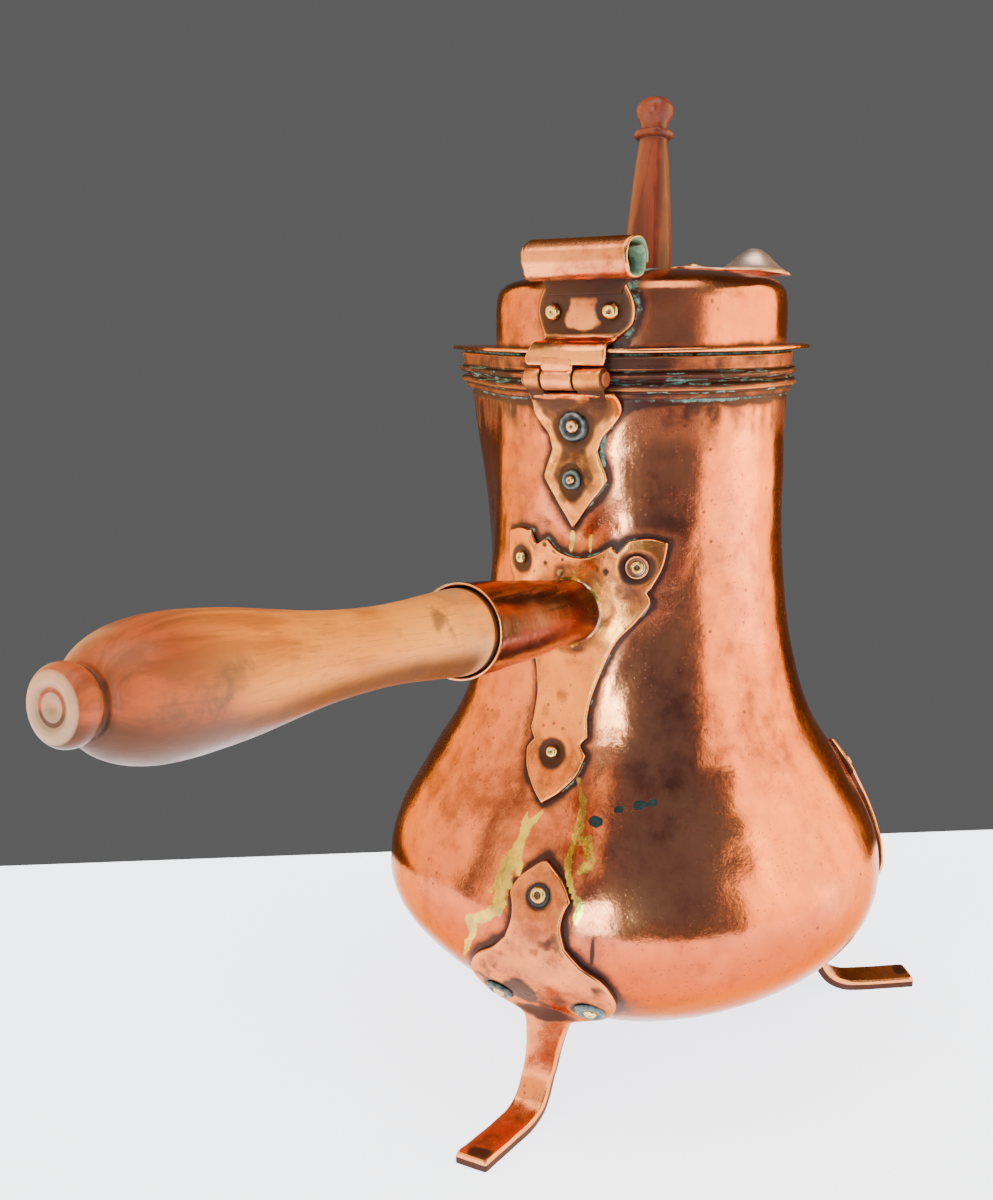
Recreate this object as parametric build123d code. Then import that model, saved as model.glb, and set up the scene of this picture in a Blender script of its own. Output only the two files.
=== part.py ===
from build123d import *
import os, math

# Chocolate pot: a pear-shaped hammered copper vessel on three riveted strap
# feet, with a long beak spout, a radial wooden side handle in a riveted
# socket, and a hinged domed lid that carries a turned stirrer and a swivel
# cover.  Millimetres, +Z up.  Origin: on the vessel's axis, on the surface
# the feet stand on.  Handle, hinge and front foot lie towards -Y, the spout
# towards -X.

# ------------------------------------------------------------------ sizes
WALL = 1.3                # vessel sheet
GAP = 0.05                # skin gap between brazed or riveted sheets
RIM_Z = 264.7             # top of the vessel wall
# outer profile of the vessel (radius, height), bottom centre to rim
PROFILE = [(0.0, 13.2), (18.0, 13.9), (36.1, 17.1), (49.4, 21.9), (64.6, 31.4),
           (82.2, 45.5), (93.4, 61.5), (95.0, 75.0), (92.3, 87.0), (81.5, 107.3),
           (67.2, 130.7), (58.7, 159.1), (54.7, 189.9), (53.3, 223.1),
           (53.1, 245.0), (53.1, RIM_Z)]
# ridge of the beak spout (height, distance of the ridge from the axis)
RIDGE = [(140.0, 60.5), (150.0, 61.9), (160.0, 62.4), (175.0, 62.9), (190.0, 63.6),
         (206.0, 65.2), (218.0, 66.9), (236.0, 70.2), (250.0, 72.3), (RIM_Z, 75.0)]

BAND_Z0, BAND_Z1 = 250.0, 263.8     # rim band
BAND_T = 1.1
BEAD_R = 55.9                       # outer radius of its two beads
BEADS = [(252.6, 254.9), (256.4, 258.7)]

HINGE_R, HINGE_Z = 60.8, 257.0      # hinge pin axis, along X
KNUCKLE_R, PIN_R = 3.8, 1.5
KNUCKLES = [(-13.8, -7.75), (-7.45, 3.75), (4.05, 13.8)]
LEAF_T = 1.5

HANDLE_E = math.radians(7.9)        # upward slope of the handle
HANDLE_Z0 = 171.2                   # height at which its axis meets the pot's axis
SOCKET_S1 = 130.0                   # socket mouth, along the handle axis
SOCKET_R0, SOCKET_R1 = 11.1, 14.5   # outer radius at s = 57 and at the mouth
SOCKET_T = 1.0
PLATE_T = 1.6                       # handle plate

FOOT_T = 2.4                        # foot plate
STRAP_T = 4.4                       # foot strap

FLANGE_Z, FLANGE_T, FLANGE_R = 265.0, 1.3, 60.3
FLANGE_TIP = 80.8                   # beak of the flange, over the spout
DOME_T = 1.2
DOME = [(52.2, 266.3), (52.15, 275.0), (51.8, 281.5), (50.8, 285.2), (48.0, 287.9),
        (43.5, 289.4), (36.0, 290.8), (26.0, 291.9), (14.0, 292.7), (0.0, 293.1)]
COLLAR_R, COLLAR_T, COLLAR_Z = 48.6, 1.0, 256.8
HOLE_R = 10.5                       # hole for the stirrer
HOLE_X, HOLE_Y = 2.1, 0.8

PIVOT = (12.6, 19.5)                # swivel cover's pivot on the lid
PIVOT_TILT = math.radians(4.2)
COVER_DIR = math.radians(22.8)      # direction of the cover, swung aside
COVER_ARM = 21.6
COVER_T = 1.0

STIR_DIR = (-0.0158, 0.1228, 1.0)   # lean of the stirrer
STIR_TOP_Z = 351.5
STIR_LEN = 333.6

os.makedirs("parts", exist_ok=True)


# ------------------------------------------------------------------ helpers
def _cr(p0, p1, p2, p3, t):
    """Centripetal Catmull-Rom point between p1 and p2."""
    def d(a, b):
        return max(math.hypot(a[0] - b[0], a[1] - b[1]) ** 0.5, 1e-6)
    t0 = 0.0
    t1 = t0 + d(p0, p1)
    t2 = t1 + d(p1, p2)
    t3 = t2 + d(p2, p3)
    u = t1 + (t2 - t1) * t
    out = []
    for k in (0, 1):
        a1 = (t1 - u) / (t1 - t0) * p0[k] + (u - t0) / (t1 - t0) * p1[k]
        a2 = (t2 - u) / (t2 - t1) * p1[k] + (u - t1) / (t2 - t1) * p2[k]
        a3 = (t3 - u) / (t3 - t2) * p2[k] + (u - t2) / (t3 - t2) * p3[k]
        b1 = (t2 - u) / (t2 - t0) * a1 + (u - t0) / (t2 - t0) * a2
        b2 = (t3 - u) / (t3 - t1) * a2 + (u - t1) / (t3 - t1) * a3
        out.append((t2 - u) / (t2 - t1) * b1 + (u - t1) / (t2 - t1) * b2)
    return tuple(out)


def curve_pt(knots, t):
    n = len(knots) - 1
    i = min(int(t), n - 1)
    f = t - i
    g = lambda k: knots[k]
    p1, p2 = g(i), g(i + 1)
    p0 = g(i - 1) if i > 0 else (2 * p1[0] - p2[0], p1[1] if knots is PROFILE else 2 * p1[1] - p2[1])
    if i == 0 and knots is PROFILE:
        p0 = (-p2[0], p2[1])
    p3 = g(i + 2) if i + 2 <= n else (2 * p2[0] - p1[0], 2 * p2[1] - p1[1])
    return _cr(p0, p1, p2, p3, f)


def offset_pt(knots, t, d):
    """Point at distance d outside the profile curve."""
    n = len(knots) - 1
    a = curve_pt(knots, max(0.0, t - 0.01))
    b = curve_pt(knots, min(float(n), t + 0.01))
    p = curve_pt(knots, t)
    tx, tz = b[0] - a[0], b[1] - a[1]
    L = math.hypot(tx, tz)
    nx, nz = tz / L, -tx / L
    if t <= 0.0:
        nx, nz = 0.0, -1.0
    return (p[0] + d * nx, p[1] + d * nz), (nx, nz)


def t_at_z(knots, z, lo, hi):
    up = knots[int(hi)][1] > knots[int(lo)][1]
    for _ in range(60):
        m = (lo + hi) / 2
        if (curve_pt(knots, m)[1] < z) == up:
            lo = m
        else:
            hi = m
    return (lo + hi) / 2


def samples(knots, t0, t1, d, n):
    pts = []
    for i in range(n + 1):
        p, _ = offset_pt(knots, t0 + (t1 - t0) * i / n, d)
        pts.append((max(p[0], 0.0), 0.0, p[1]))
    return pts


def r_of(z):
    return curve_pt(PROFILE, t_at_z(PROFILE, z, 2.0, 15.0))[0]


def surf(z, d=0.0):
    """Point and normal (radial, z) of the vessel's skin at height z."""
    return offset_pt(PROFILE, t_at_z(PROFILE, z, 2.0, 15.0), d)


def shell_band(z0, z1, d0, d1, n=18):
    """Solid of revolution between two offsets of the vessel's profile."""
    t0 = t_at_z(PROFILE, z0, 2.0, 15.0)
    t1 = t_at_z(PROFILE, z1, 2.0, 15.0)
    a = samples(PROFILE, t0, t1, d0, n)
    b = samples(PROFILE, t0, t1, d1, n)
    edges = Spline(*a) + Line(a[-1], b[-1]) + Spline(*reversed(b)) + Line(b[0], a[0])
    return revolve(make_face(edges), Axis.Z)


def outline(segs):
    """Face in the XZ plane from segments: 2 points a line, more a spline."""
    e = None
    for s in segs:
        pts = [(x, 0.0, z) for x, z in s]
        c = Line(*pts) if len(pts) == 2 else Spline(*pts)
        e = c if e is None else e + c
    return make_face(e)


def poly_xz(pts):
    p = [(x, 0.0, z) for x, z in pts]
    return make_face(Polyline(*p, p[0]))


def poly_yz(pts, x0, x1):
    p = [(x0, y, z) for y, z in pts]
    return extrude(make_face(Polyline(*p, p[0])), amount=x1 - x0, dir=(1, 0, 0))


def front(face, depth=150):
    return extrude(face, amount=depth, dir=(0, -1, 0))


def solid_profile(knots, d, top_z, n):
    """Solid of revolution inside one offset of the vessel's profile."""
    a = samples(knots, 0.0, float(len(knots) - 1), d, n)
    a[0] = (0.0, 0.0, a[0][2])
    end = a[-1]
    a[-1] = (end[0], 0.0, min(end[2], RIM_Z))
    e = Spline(*a)
    last = a[-1]
    if top_z > last[2] + 1e-6:
        e = e + Line(last, (last[0], 0.0, top_z))
        last = (last[0], 0.0, top_z)
    e = e + Line(last, (0.0, 0.0, last[2])) + Line((0.0, 0.0, last[2]), a[0])
    return revolve(make_face(e), Axis.Z)


def ridge_rho(z):
    for (z0, a), (z1, b) in zip(RIDGE[:-1], RIDGE[1:]):
        if z <= z1:
            return a + (b - a) * (z - z0) / (z1 - z0)
    (z0, a), (z1, b) = RIDGE[-2], RIDGE[-1]
    return a + (b - a) * (z - z0) / (z1 - z0)


def wedge(z_list, d):
    """Beak spout: wedge tangent to the round neck, offset by d."""
    secs = []
    for z in z_list:
        r = r_of(min(z, RIM_Z - 0.01))
        rho = ridge_rho(z)
        c = min(r / rho, math.cos(math.radians(9.0)))
        rr = r + d
        rho2 = rho + d / max(c, 0.6)
        ph = math.acos(c)
        tx, ty = -rr * 0.998 * math.cos(ph), rr * 0.998 * math.sin(ph)
        b = 0.25 * rr
        pts = [(-rho2, 0, z), (tx, ty, z), (-b, b, z), (-b, -b, z), (tx, -ty, z)]
        secs.append(make_face(Polyline(*pts, pts[0])))
    return loft(secs, ruled=True)


def beak_plate(r, tip, z0, z1):
    """Round plate with a beak towards -X."""
    ph = math.acos(r / tip)
    tx, ty = -r * math.cos(ph), r * math.sin(ph)
    c = Cylinder(r, z1 - z0, align=(Align.CENTER, Align.CENTER, Align.MIN)).moved(Location((0, 0, z0)))
    pts = [(-tip, 0, z0), (tx, ty, z0), (0, ty * 0.3, z0), (0, -ty * 0.3, z0), (tx, -ty, z0)]
    w = extrude(make_face(Polyline(*pts, pts[0])), amount=z1 - z0, dir=(0, 0, 1))
    return c + w


def at_axis(p, n):
    """Location whose +Z runs along n from p."""
    return Plane(origin=p, z_dir=n).location


def surf_frame(x, z, d=0.0):
    """World point and outward normal on the vessel at lateral x, height z."""
    (r, zz), (nr, nz) = surf(z, d)
    r0 = r_of(z)
    a = math.asin(x / r0)
    s, c = math.sin(a), math.cos(a)
    return (r * s, -r * c, zz), (nr * s, -nr * c, nz)


def rivet(p, n, stack, wall, head_r, head_h, shank_r=1.9, tail=True):
    """Domed rivet. p on the skin, n outward, stack = height of what it clamps."""
    rr = (head_r ** 2 + head_h ** 2) / (2 * head_h)
    ball = Sphere(rr).moved(Location((0, 0, stack + head_h - rr)))
    cap = ball & Cylinder(head_r, 10, align=(Align.CENTER, Align.CENTER, Align.MIN)).moved(Location((0, 0, stack)))
    sh = Cylinder(shank_r, stack + wall + 0.15 + 0.3, align=(Align.CENTER, Align.CENTER, Align.MIN)).moved(
        Location((0, 0, -wall - 0.15)))
    body = cap + sh
    if tail:
        body = body + Cylinder(shank_r + 1.0, 1.0, align=(Align.CENTER, Align.CENTER, Align.MAX)).moved(
            Location((0, 0, -wall - 0.15)))
    return at_axis(p, n) * body


def washer(p, n, base, r, t, hole):
    """Dished washer: a shallow cone ring standing on the plate."""
    pts = [(hole, 0, base), (r, 0, base), (r, 0, base + 0.35), (r * 0.72, 0, base + t), (hole, 0, base + t * 0.8)]
    ring = revolve(make_face(Polyline(*pts, pts[0])), Axis.Z)
    return at_axis(p, n) * ring


def drill(p, n, r, length=16):
    return at_axis(p, n) * Cylinder(r, length)


def group(items):
    return Compound(children=list(items))


# ------------------------------------------------------------------ vessel
zs = [140.0, 150.0, 160.0, 175.0, 190.0, 206.0, 218.0, 236.0, 250.0, RIM_Z]
outer = solid_profile(PROFILE, 0.0, RIM_Z, 60) + wedge(zs, 0.0)
inner = solid_profile(PROFILE, -WALL, RIM_Z + 6, 60) + wedge(zs[:-1] + [RIM_Z + 6], -WALL)
vessel = outer - inner
skin = solid_profile(PROFILE, GAP, RIM_Z, 60) + wedge(zs, GAP)

# ------------------------------------------------------------------ rim band
bz = [BAND_Z0, RIM_Z]
band = Cylinder(53.1 + BAND_T, BAND_Z1 - BAND_Z0, align=(Align.CENTER, Align.CENTER, Align.MIN)).moved(
    Location((0, 0, BAND_Z0)))
cutter = Box(400, 400, BAND_Z1 - BAND_Z0, align=(Align.CENTER, Align.CENTER, Align.MIN)).moved(
    Location((0, 0, BAND_Z0)))
band = band + (wedge(bz, BAND_T) & cutter)
for z0, z1 in BEADS:
    tip = ridge_rho((z0 + z1) / 2) + 3.6
    band = band + beak_plate(BEAD_R, tip, z0, z1)
band = band - skin

# ------------------------------------------------------------------ hinge, lower leaf
leaf_r = [(0.0, 207.5), (4.5, 214.0), (8.5, 219.5), (11.4, 223.8)]
leaf_r2 = [(11.4, 223.8), (9.9, 229.0), (8.1, 233.4)]
leaf_r3 = [(8.1, 233.4), (9.6, 238.0), (13.4, 242.3), (16.2, 246.5), (16.4, 249.8)]
mir = lambda s: [(-x, z) for x, z in reversed(s)]
leaf_face = outline([leaf_r, leaf_r2, leaf_r3, [(16.4, 249.8), (-16.4, 249.8)],
                     mir(leaf_r3), mir(leaf_r2), mir(leaf_r)])
lower_leaf = shell_band(200.0, 252.0, GAP, GAP + LEAF_T, 12) & front(leaf_face)
web = [(-50.0, 243.5), (-55.0, 243.5), (-58.8, 249.6), (-63.4, 254.2), (-60.8, 257.0), (-57.5, 254.9),
       (-57.1, 252.2), (-55.6, 249.8), (-50.0, 249.8)]
leaf_core = solid_profile(PROFILE, GAP + LEAF_T * 0.5, RIM_Z, 60)
for k in (0, 2):
    x0, x1 = KNUCKLES[k]
    lower_leaf = lower_leaf + (poly_yz(web, x0, x1) - leaf_core)
    lower_leaf = lower_leaf + Cylinder(KNUCKLE_R, x1 - x0, rotation=(0, 90, 0)).moved(
        Location(((x0 + x1) / 2, -HINGE_R, HINGE_Z)))
pin_bore = Cylinder(PIN_R + 0.05, 40, rotation=(0, 90, 0)).moved(Location((0, -HINGE_R, HINGE_Z)))
lower_leaf = lower_leaf - pin_bore
pin = Cylinder(PIN_R, 28.0, rotation=(0, 90, 0)).moved(Location((0, -HINGE_R, HINGE_Z)))
for sx in (-1, 1):
    pin = pin + Cylinder(2.4, 0.9, rotation=(0, 90, 0)).moved(Location((sx * (13.8 + 0.46), -HINGE_R, HINGE_Z)))

low_rv = [(0.0, 241.4), (-0.6, 223.6)]
low_rivets, low_washers = [], []
for x, z in low_rv:
    p, n = surf_frame(x, z)
    lower_leaf = lower_leaf - drill(p, n, 1.93)
    vessel = vessel - drill(p, n, 1.93)
    low_washers.append(washer(p, n, GAP + LEAF_T + 0.06, 4.1, 1.1, 1.95))
    low_rivets.append(rivet(p, n, GAP + LEAF_T + 0.06 + 1.12, WALL, 2.3, 1.5))

# ------------------------------------------------------------------ handle plate
plate_segs = [
    [(-27.5, 203.6), (-22.0, 205.1), (-17.1, 204.9)],
    [(-17.1, 204.9), (-14.6, 200.3)],
    [(-14.6, 200.3), (-10.2, 202.8)],
    [(-10.2, 202.8), (-6.0, 199.3), (1.2, 197.4), (8.0, 198.7), (13.4, 202.2)],
    [(13.4, 202.2), (15.2, 199.6)],
    [(15.2, 199.6), (18.6, 204.0)],
    [(18.6, 204.0), (24.5, 204.8), (30.2, 203.4)],
    [(30.2, 203.4), (28.9, 195.0), (26.0, 188.1)],
    [(26.0, 188.1), (24.7, 186.7)],
    [(24.7, 186.7), (25.9, 183.2), (22.9, 177.8), (16.4, 169.6), (12.8, 160.3), (10.3, 151.0), (9.6, 143.5),
     (10.4, 137.6)],
    [(10.4, 137.6), (8.4, 134.9)],
    [(8.4, 134.9), (10.9, 131.6)],
    [(10.9, 131.6), (9.0, 125.5), (4.2, 119.5), (-0.8, 116.0)],
    [(-0.8, 116.0), (-5.4, 119.9), (-9.6, 125.3), (-11.3, 131.2)],
    [(-11.3, 131.2), (-8.7, 134.6)],
    [(-8.7, 134.6), (-10.9, 137.6)],
    [(-10.9, 137.6), (-10.2, 143.5), (-10.2, 151.0), (-12.2, 160.3), (-16.0, 169.6), (-22.4, 177.8),
     (-25.2, 183.2), (-24.1, 187.0)],
    [(-24.1, 187.0), (-25.6, 188.6)],
    [(-25.6, 188.6), (-27.4, 195.4), (-27.5, 203.6)],
]
handle_plate = shell_band(108.0, 207.0, GAP, GAP + PLATE_T, 30) & front(outline(plate_segs))
hp_rv = [(-20.6, 195.0), (21.4, 195.3), (-0.8, 131.4)]
handle_rivets = []
handle_washer = None
for i, (x, z) in enumerate(hp_rv):
    p, n = surf_frame(x, z)
    handle_plate = handle_plate - drill(p, n, 1.93)
    vessel = vessel - drill(p, n, 1.93)
    if i == 1:
        handle_washer = washer(p, n, GAP + PLATE_T + 0.06, 3.9, 1.0, 1.95)
        handle_rivets.append(rivet(p, n, GAP + PLATE_T + 0.06 + 1.02, WALL, 2.2, 1.4))
    else:
        handle_rivets.append(rivet(p, n, GAP + PLATE_T + 0.06, WALL, 2.4, 1.5))

# ------------------------------------------------------------------ handle socket and grip
hdir = (0.0, -math.cos(HANDLE_E), math.sin(HANDLE_E))
HL = Plane(origin=(0, 0, HANDLE_Z0), z_dir=hdir, x_dir=(1, 0, 0)).location


def turned(pts, smooth=None):
    """Solid turned about local +Z from (distance, radius) points, on the handle axis."""
    p = [(r, 0.0, s) for s, r in pts]
    e = Spline(*p) if smooth else Polyline(*p)
    a, b = p[0], p[-1]
    e2 = e
    if b[0] > 1e-6:
        e2 = e2 + Line(b, (0, 0, b[2]))
    e2 = e2 + Line((0, 0, b[2]), (0, 0, a[2]))
    if a[0] > 1e-6:
        e2 = e2 + Line((0, 0, a[2]), a)
    return revolve(make_face(e2), Axis.Z)


k = (SOCKET_R1 - SOCKET_R0) / (SOCKET_S1 - 57.0)
sock_r = lambda s: SOCKET_R0 + k * (s - 57.0)
so = turned([(40.0, sock_r(40.0)), (SOCKET_S1, SOCKET_R1)])
si = turned([(39.0, sock_r(39.0) - SOCKET_T), (SOCKET_S1 + 1, sock_r(SOCKET_S1 + 1) - SOCKET_T)])
flare = turned([(40.0, 14.6), (56.6, 13.4), (58.2, 12.2), (60.5, sock_r(60.5) + 0.02)])
socket = (HL * (so + flare)) - (HL * si)
plate_skin = solid_profile(PROFILE, GAP + PLATE_T + 0.04, RIM_Z, 60)
socket = socket - plate_skin
socket = max(socket.solids(), key=lambda s: s.volume) if len(socket.solids()) > 1 else socket

body_pts = [(130.2, 12.65), (138.0, 12.3), (146.0, 11.75), (158.0, 10.95), (169.8, 10.55), (183.0, 10.75),
            (196.2, 11.6), (210.0, 13.05), (222.6, 14.45), (233.0, 15.15), (241.5, 15.35), (249.0, 14.85),
            (255.0, 13.5), (259.5, 11.4), (262.3, 8.9), (263.2, 7.3)]
grip = turned(body_pts, smooth=True)
ten = turned([(72.0, sock_r(72.0) - SOCKET_T - 0.05), (112.0, sock_r(112.0) - SOCKET_T - 0.05), (118.0, 12.62),
              (130.3, 12.62)])
button = turned([(262.8, 6.6), (264.4, 6.6), (265.0, 7.6), (267.0, 8.1), (269.4, 7.7), (270.6, 6.6), (270.9, 5.4),
                 (270.3, 3.0), (269.9, 0.0)])
grip = HL * (grip + ten + button)

# ------------------------------------------------------------------ feet
# Forged by hand, so no two are quite alike: each has its own angle about the
# vessel, height of plate, reach of toe and lean of strap.
foot_up = [(0.0, 101.4), (3.4, 99.2), (7.4, 95.8), (10.8, 90.6)]
foot_mid = [(10.8, 90.6), (9.2, 86.5), (8.9, 82.0), (10.6, 76.0)]
foot_low = [(10.6, 76.0), (16.0, 70.3), (22.6, 65.4), (25.8, 58.8), (25.0, 51.5), (20.5, 46.0), (13.5, 43.0),
            (8.6, 40.6)]
foot_rv = [(0.0, 90.6), (-16.2, 51.2), (16.2, 51.2)]
foot_cl = [(86.6, 49.2), (82.2, 41.0), (79.9, 30.0), (79.2, 20.0), (80.6, 12.0), (84.8, 6.2), (91.0, 2.9), (98.0, 2.2)]
strap_core = solid_profile(PROFILE, GAP + FOOT_T * 0.5, RIM_Z, 60)


def strap_profile(c, t):
    n = len(c) - 1
    up, lo = [], []
    for i in range(n * 3 + 1):
        u = i / 3.0
        (x, z), (nx, nz) = offset_pt(c, u, 0.0)
        up.append((x - nx * t / 2, z - nz * t / 2))
        lo.append((x + nx * t / 2, max(0.0, z + nz * t / 2)))
    return up, lo


def make_foot(dz, reach, lean):
    """Plate raised by dz, toe ending at radius reach, strap leaning lean to the side at the toe."""
    up_z = lambda seg: [(x, z + dz) for x, z in seg]
    u, m, w = up_z(foot_up), up_z(foot_mid), up_z(foot_low)
    face = outline([u, m, w, [(8.6, 40.6 + dz), (8.4, 38.0 + dz)], [(8.4, 38.0 + dz), (-8.4, 38.0 + dz)],
                    [(-8.4, 38.0 + dz), (-8.6, 40.6 + dz)], mir(w), mir(m), mir(u)])
    plate = shell_band(39.5 + dz, 103.0 + dz, GAP, GAP + FOOT_T, 26) & front(face)
    up, lo = strap_profile(foot_cl + [(reach, 2.2)], STRAP_T)
    sp = [(0.0, -x, z) for x, z in up]
    sl = [(0.0, -x, z) for x, z in reversed(lo)]
    strap = make_face(Polyline(*sp, *sl, sp[0]))
    strap = extrude(strap, amount=24.0, dir=(1, 0, 0)) + extrude(strap, amount=24.0, dir=(-1, 0, 0))
    k = lean / 14.7
    wid = [(5.6, 12.0, -6.4), (5.9, 22.0, -4.6), (6.9, 31.0, -2.9), (8.4, 40.6, -0.9), (8.6, 60.0, 0.0)]
    right = [(-6.4 * k + 5.6, -1.0)] + [(h + c * k, z) for h, z, c in wid]
    left = [(-h + c * k, z) for h, z, c in reversed(wid)] + [(-6.4 * k - 5.6, 11.0), (-23.0, 10.0), (-23.0, -1.0)]
    strap = strap & front(poly_xz(right + left if lean else right + left[:-2] + [(-5.6, -1.0)]), 130)
    if lean:
        e = reach + 2.0
        pl = [(9.2, -60.0), (9.2, -80.0), (-1.2 * k, -86.0), (-(lean - 5.9) - 0.4, -e), (-(lean + 5.9) - 0.4, -e),
              (-12.6 * k, -86.0), (-12.2 * k, -80.0), (-12.2 * k, -60.0)]
        pf = make_face(Polyline(*[(x, y, -2.0) for x, y in pl], (pl[0][0], pl[0][1], -2.0)))
        strap = strap & extrude(pf, amount=80.0, dir=(0, 0, 1))
    foot = plate + (strap - strap_core)
    rivets, washers, drills = [], [], []
    for i, (x, z) in enumerate(foot_rv):
        p, n = surf_frame(x, z + dz)
        drills.append(drill(p, n, 2.13))
        foot = foot - drills[-1]
        wr = 3.9 if i == 0 else 4.7
        washers.append(washer(p, n, GAP + FOOT_T + 0.08, wr, 1.2, 2.15))
        rivets.append(rivet(p, n, GAP + FOOT_T + 0.08 + 1.22, WALL, 2.5, 1.5, 2.1))
    return foot, rivets, washers, drills


feet = {"front_foot": (4.0, 0.0, 117.0, 14.7), "right_foot": (125.0, 9.5, 121.0, 0.0),
        "left_foot": (238.0, 5.5, 118.5, 0.0)}
foot_made = {}
for name, (ang, dz, reach, lean) in feet.items():
    foot_made[name] = make_foot(dz, reach, lean)
    rot = Location((0, 0, 0), (0, 0, 1), ang)
    for d in foot_made[name][3]:
        vessel = vessel - (rot * d)

# ------------------------------------------------------------------ lid
dome_n = len(DOME) - 1
do = [offset_pt(DOME, i / 3.0, 0.0)[0] for i in range(dome_n * 3 + 1)]


def dome_off(t, d):
    (x, z), (nx, nz) = offset_pt(DOME, t, 0.0)
    return (x + nx * d, z + nz * d)


def dome_face(d0, d1, t0, t1, n):
    a = [dome_off(t0 + (t1 - t0) * i / n, d0) for i in range(n + 1)]
    b = [dome_off(t0 + (t1 - t0) * i / n, d1) for i in range(n + 1)]
    a = [(max(x, 0.0), 0.0, z) for x, z in a]
    b = [(max(x, 0.0), 0.0, z) for x, z in b]
    return make_face(Spline(*a) + Line(a[-1], b[-1]) + Spline(*reversed(b)) + Line(b[0], a[0]))


# the profile runs from the wall's foot to the centre; outward is +d
sgn = 1.0 if dome_off(1.0, 1.0)[0] > dome_off(1.0, 0.0)[0] else -1.0
dome = revolve(dome_face(0.0, -DOME_T * sgn, 0.0, float(dome_n), 30), Axis.Z)
dome = dome - Cylinder(HOLE_R, 40).moved(Location((HOLE_X, HOLE_Y, 290)))
flange = beak_plate(FLANGE_R, FLANGE_TIP, FLANGE_Z, FLANGE_Z + FLANGE_T) - Cylinder(
    COLLAR_R - COLLAR_T, 10).moved(Location((0, 0, FLANGE_Z)))
collar = (Cylinder(COLLAR_R, FLANGE_Z - COLLAR_Z, align=(Align.CENTER, Align.CENTER, Align.MIN)) - Cylinder(
    COLLAR_R - COLLAR_T, 30)).moved(Location((0, 0, COLLAR_Z)))

# upper leaf: apron over the knuckles, strap over the flange, lobe on the dome wall, thumb roll
T2 = 1.4
path = [(60.9, 261.95), (61.75, 263.6), (61.75, 265.6), (61.2, 267.3), (59.4, 268.2), (56.6, 268.3), (54.2, 269.0),
        (53.05, 271.3), (52.95, 275.0), (52.9, 281.5), (53.0, 286.5), (53.1, 292.5)]
n = len(path) - 1
pa, pb = [], []
for i in range(n * 3 + 1):
    (x, z), (nx, nz) = offset_pt(path, i / 3.0, 0.0)
    pa.append((x + nx * T2 / 2, 0.0, z + nz * T2 / 2))
    pb.append((x - nx * T2 / 2, 0.0, z - nz * T2 / 2))
leaf_rev = revolve(make_face(Polyline(*pa, *reversed(pb), pa[0])), Axis.Z)
up_segs = [
    [(-13.7, 261.2), (-14.2, 263.5), (-13.2, 266.3), (-11.6, 268.6), (-11.9, 270.4), (-13.4, 273.9),
     (-14.4, 278.1), (-13.6, 282.4), (-11.4, 286.2), (-10.8, 290.0)],
    [(-10.8, 290.0), (15.9, 290.0)],
    [(15.9, 290.0), (16.2, 286.2), (18.0, 282.4), (19.0, 278.0), (18.3, 273.6), (15.8, 270.8), (13.4, 268.9),
     (13.9, 266.3), (14.2, 263.5), (13.7, 261.2)],
    [(13.7, 261.2), (-13.7, 261.2)],
]
upper_leaf = leaf_rev & front(outline(up_segs))
kx0, kx1 = KNUCKLES[1]
knuckle = Cylinder(KNUCKLE_R, kx1 - kx0, rotation=(0, 90, 0)).moved(
    Location(((kx0 + kx1) / 2, -HINGE_R, HINGE_Z)))
tongue = poly_yz([(-63.2, 258.0), (-64.5, 257.0), (-64.2, 260.0), (-62.6, 263.2), (-61.0, 263.0), (-59.2, 260.0)],
                 kx0, kx1)
upper_leaf = upper_leaf + knuckle + tongue - pin_bore
ROLL_R, ROLL_C = 7.0, (59.6, 293.4)
spo, spi = [], []
turns = 1.18
for i in range(29):
    f = i / 28.0
    a = math.radians(180.0) - f * turns * 2 * math.pi      # starts at the back, goes over the top
    ro = ROLL_R - 2.3 * max(0.0, f * turns - 0.25) / 1.0
    cy, cz = -ROLL_C[0], ROLL_C[1]
    ang = math.pi + (math.radians(180.0) - a)
    yy, zz = math.cos(a), math.sin(a)
    spo.append((cy - ro * yy, cz + ro * zz))
    spi.append((cy - (ro - T2) * yy, cz + (ro - T2) * zz))
RX0, RX1 = -13.6, 25.2
roll = poly_yz(spo + list(reversed(spi)), RX0, RX1)
back = poly_yz([(-52.6, 284.5), (-54.0, 284.5), (-54.0, 293.6), (-52.6, 293.6)], -11.2, 16.3)
upper_leaf = upper_leaf + roll + back
upper_leaf = upper_leaf - revolve(dome_face(0.05 * sgn, -4.0 * sgn, 0.0, 6.0, 24), Axis.Z)

UP_RV = [(-8.0, 277.9), (11.4, 277.9)]
up_rivets = []
for x, z in UP_RV:
    a = math.asin(x / 52.1)
    n_ = (math.sin(a), -math.cos(a), 0.0)
    p_ = (52.0 * n_[0], 52.0 * n_[1], z)
    upper_leaf = upper_leaf - drill(p_, n_, 1.93, 8)
    dome = dome - drill(p_, n_, 1.93, 8)
    up_rivets.append(rivet(p_, n_, 1.78, DOME_T, 2.8, 1.6))

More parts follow.
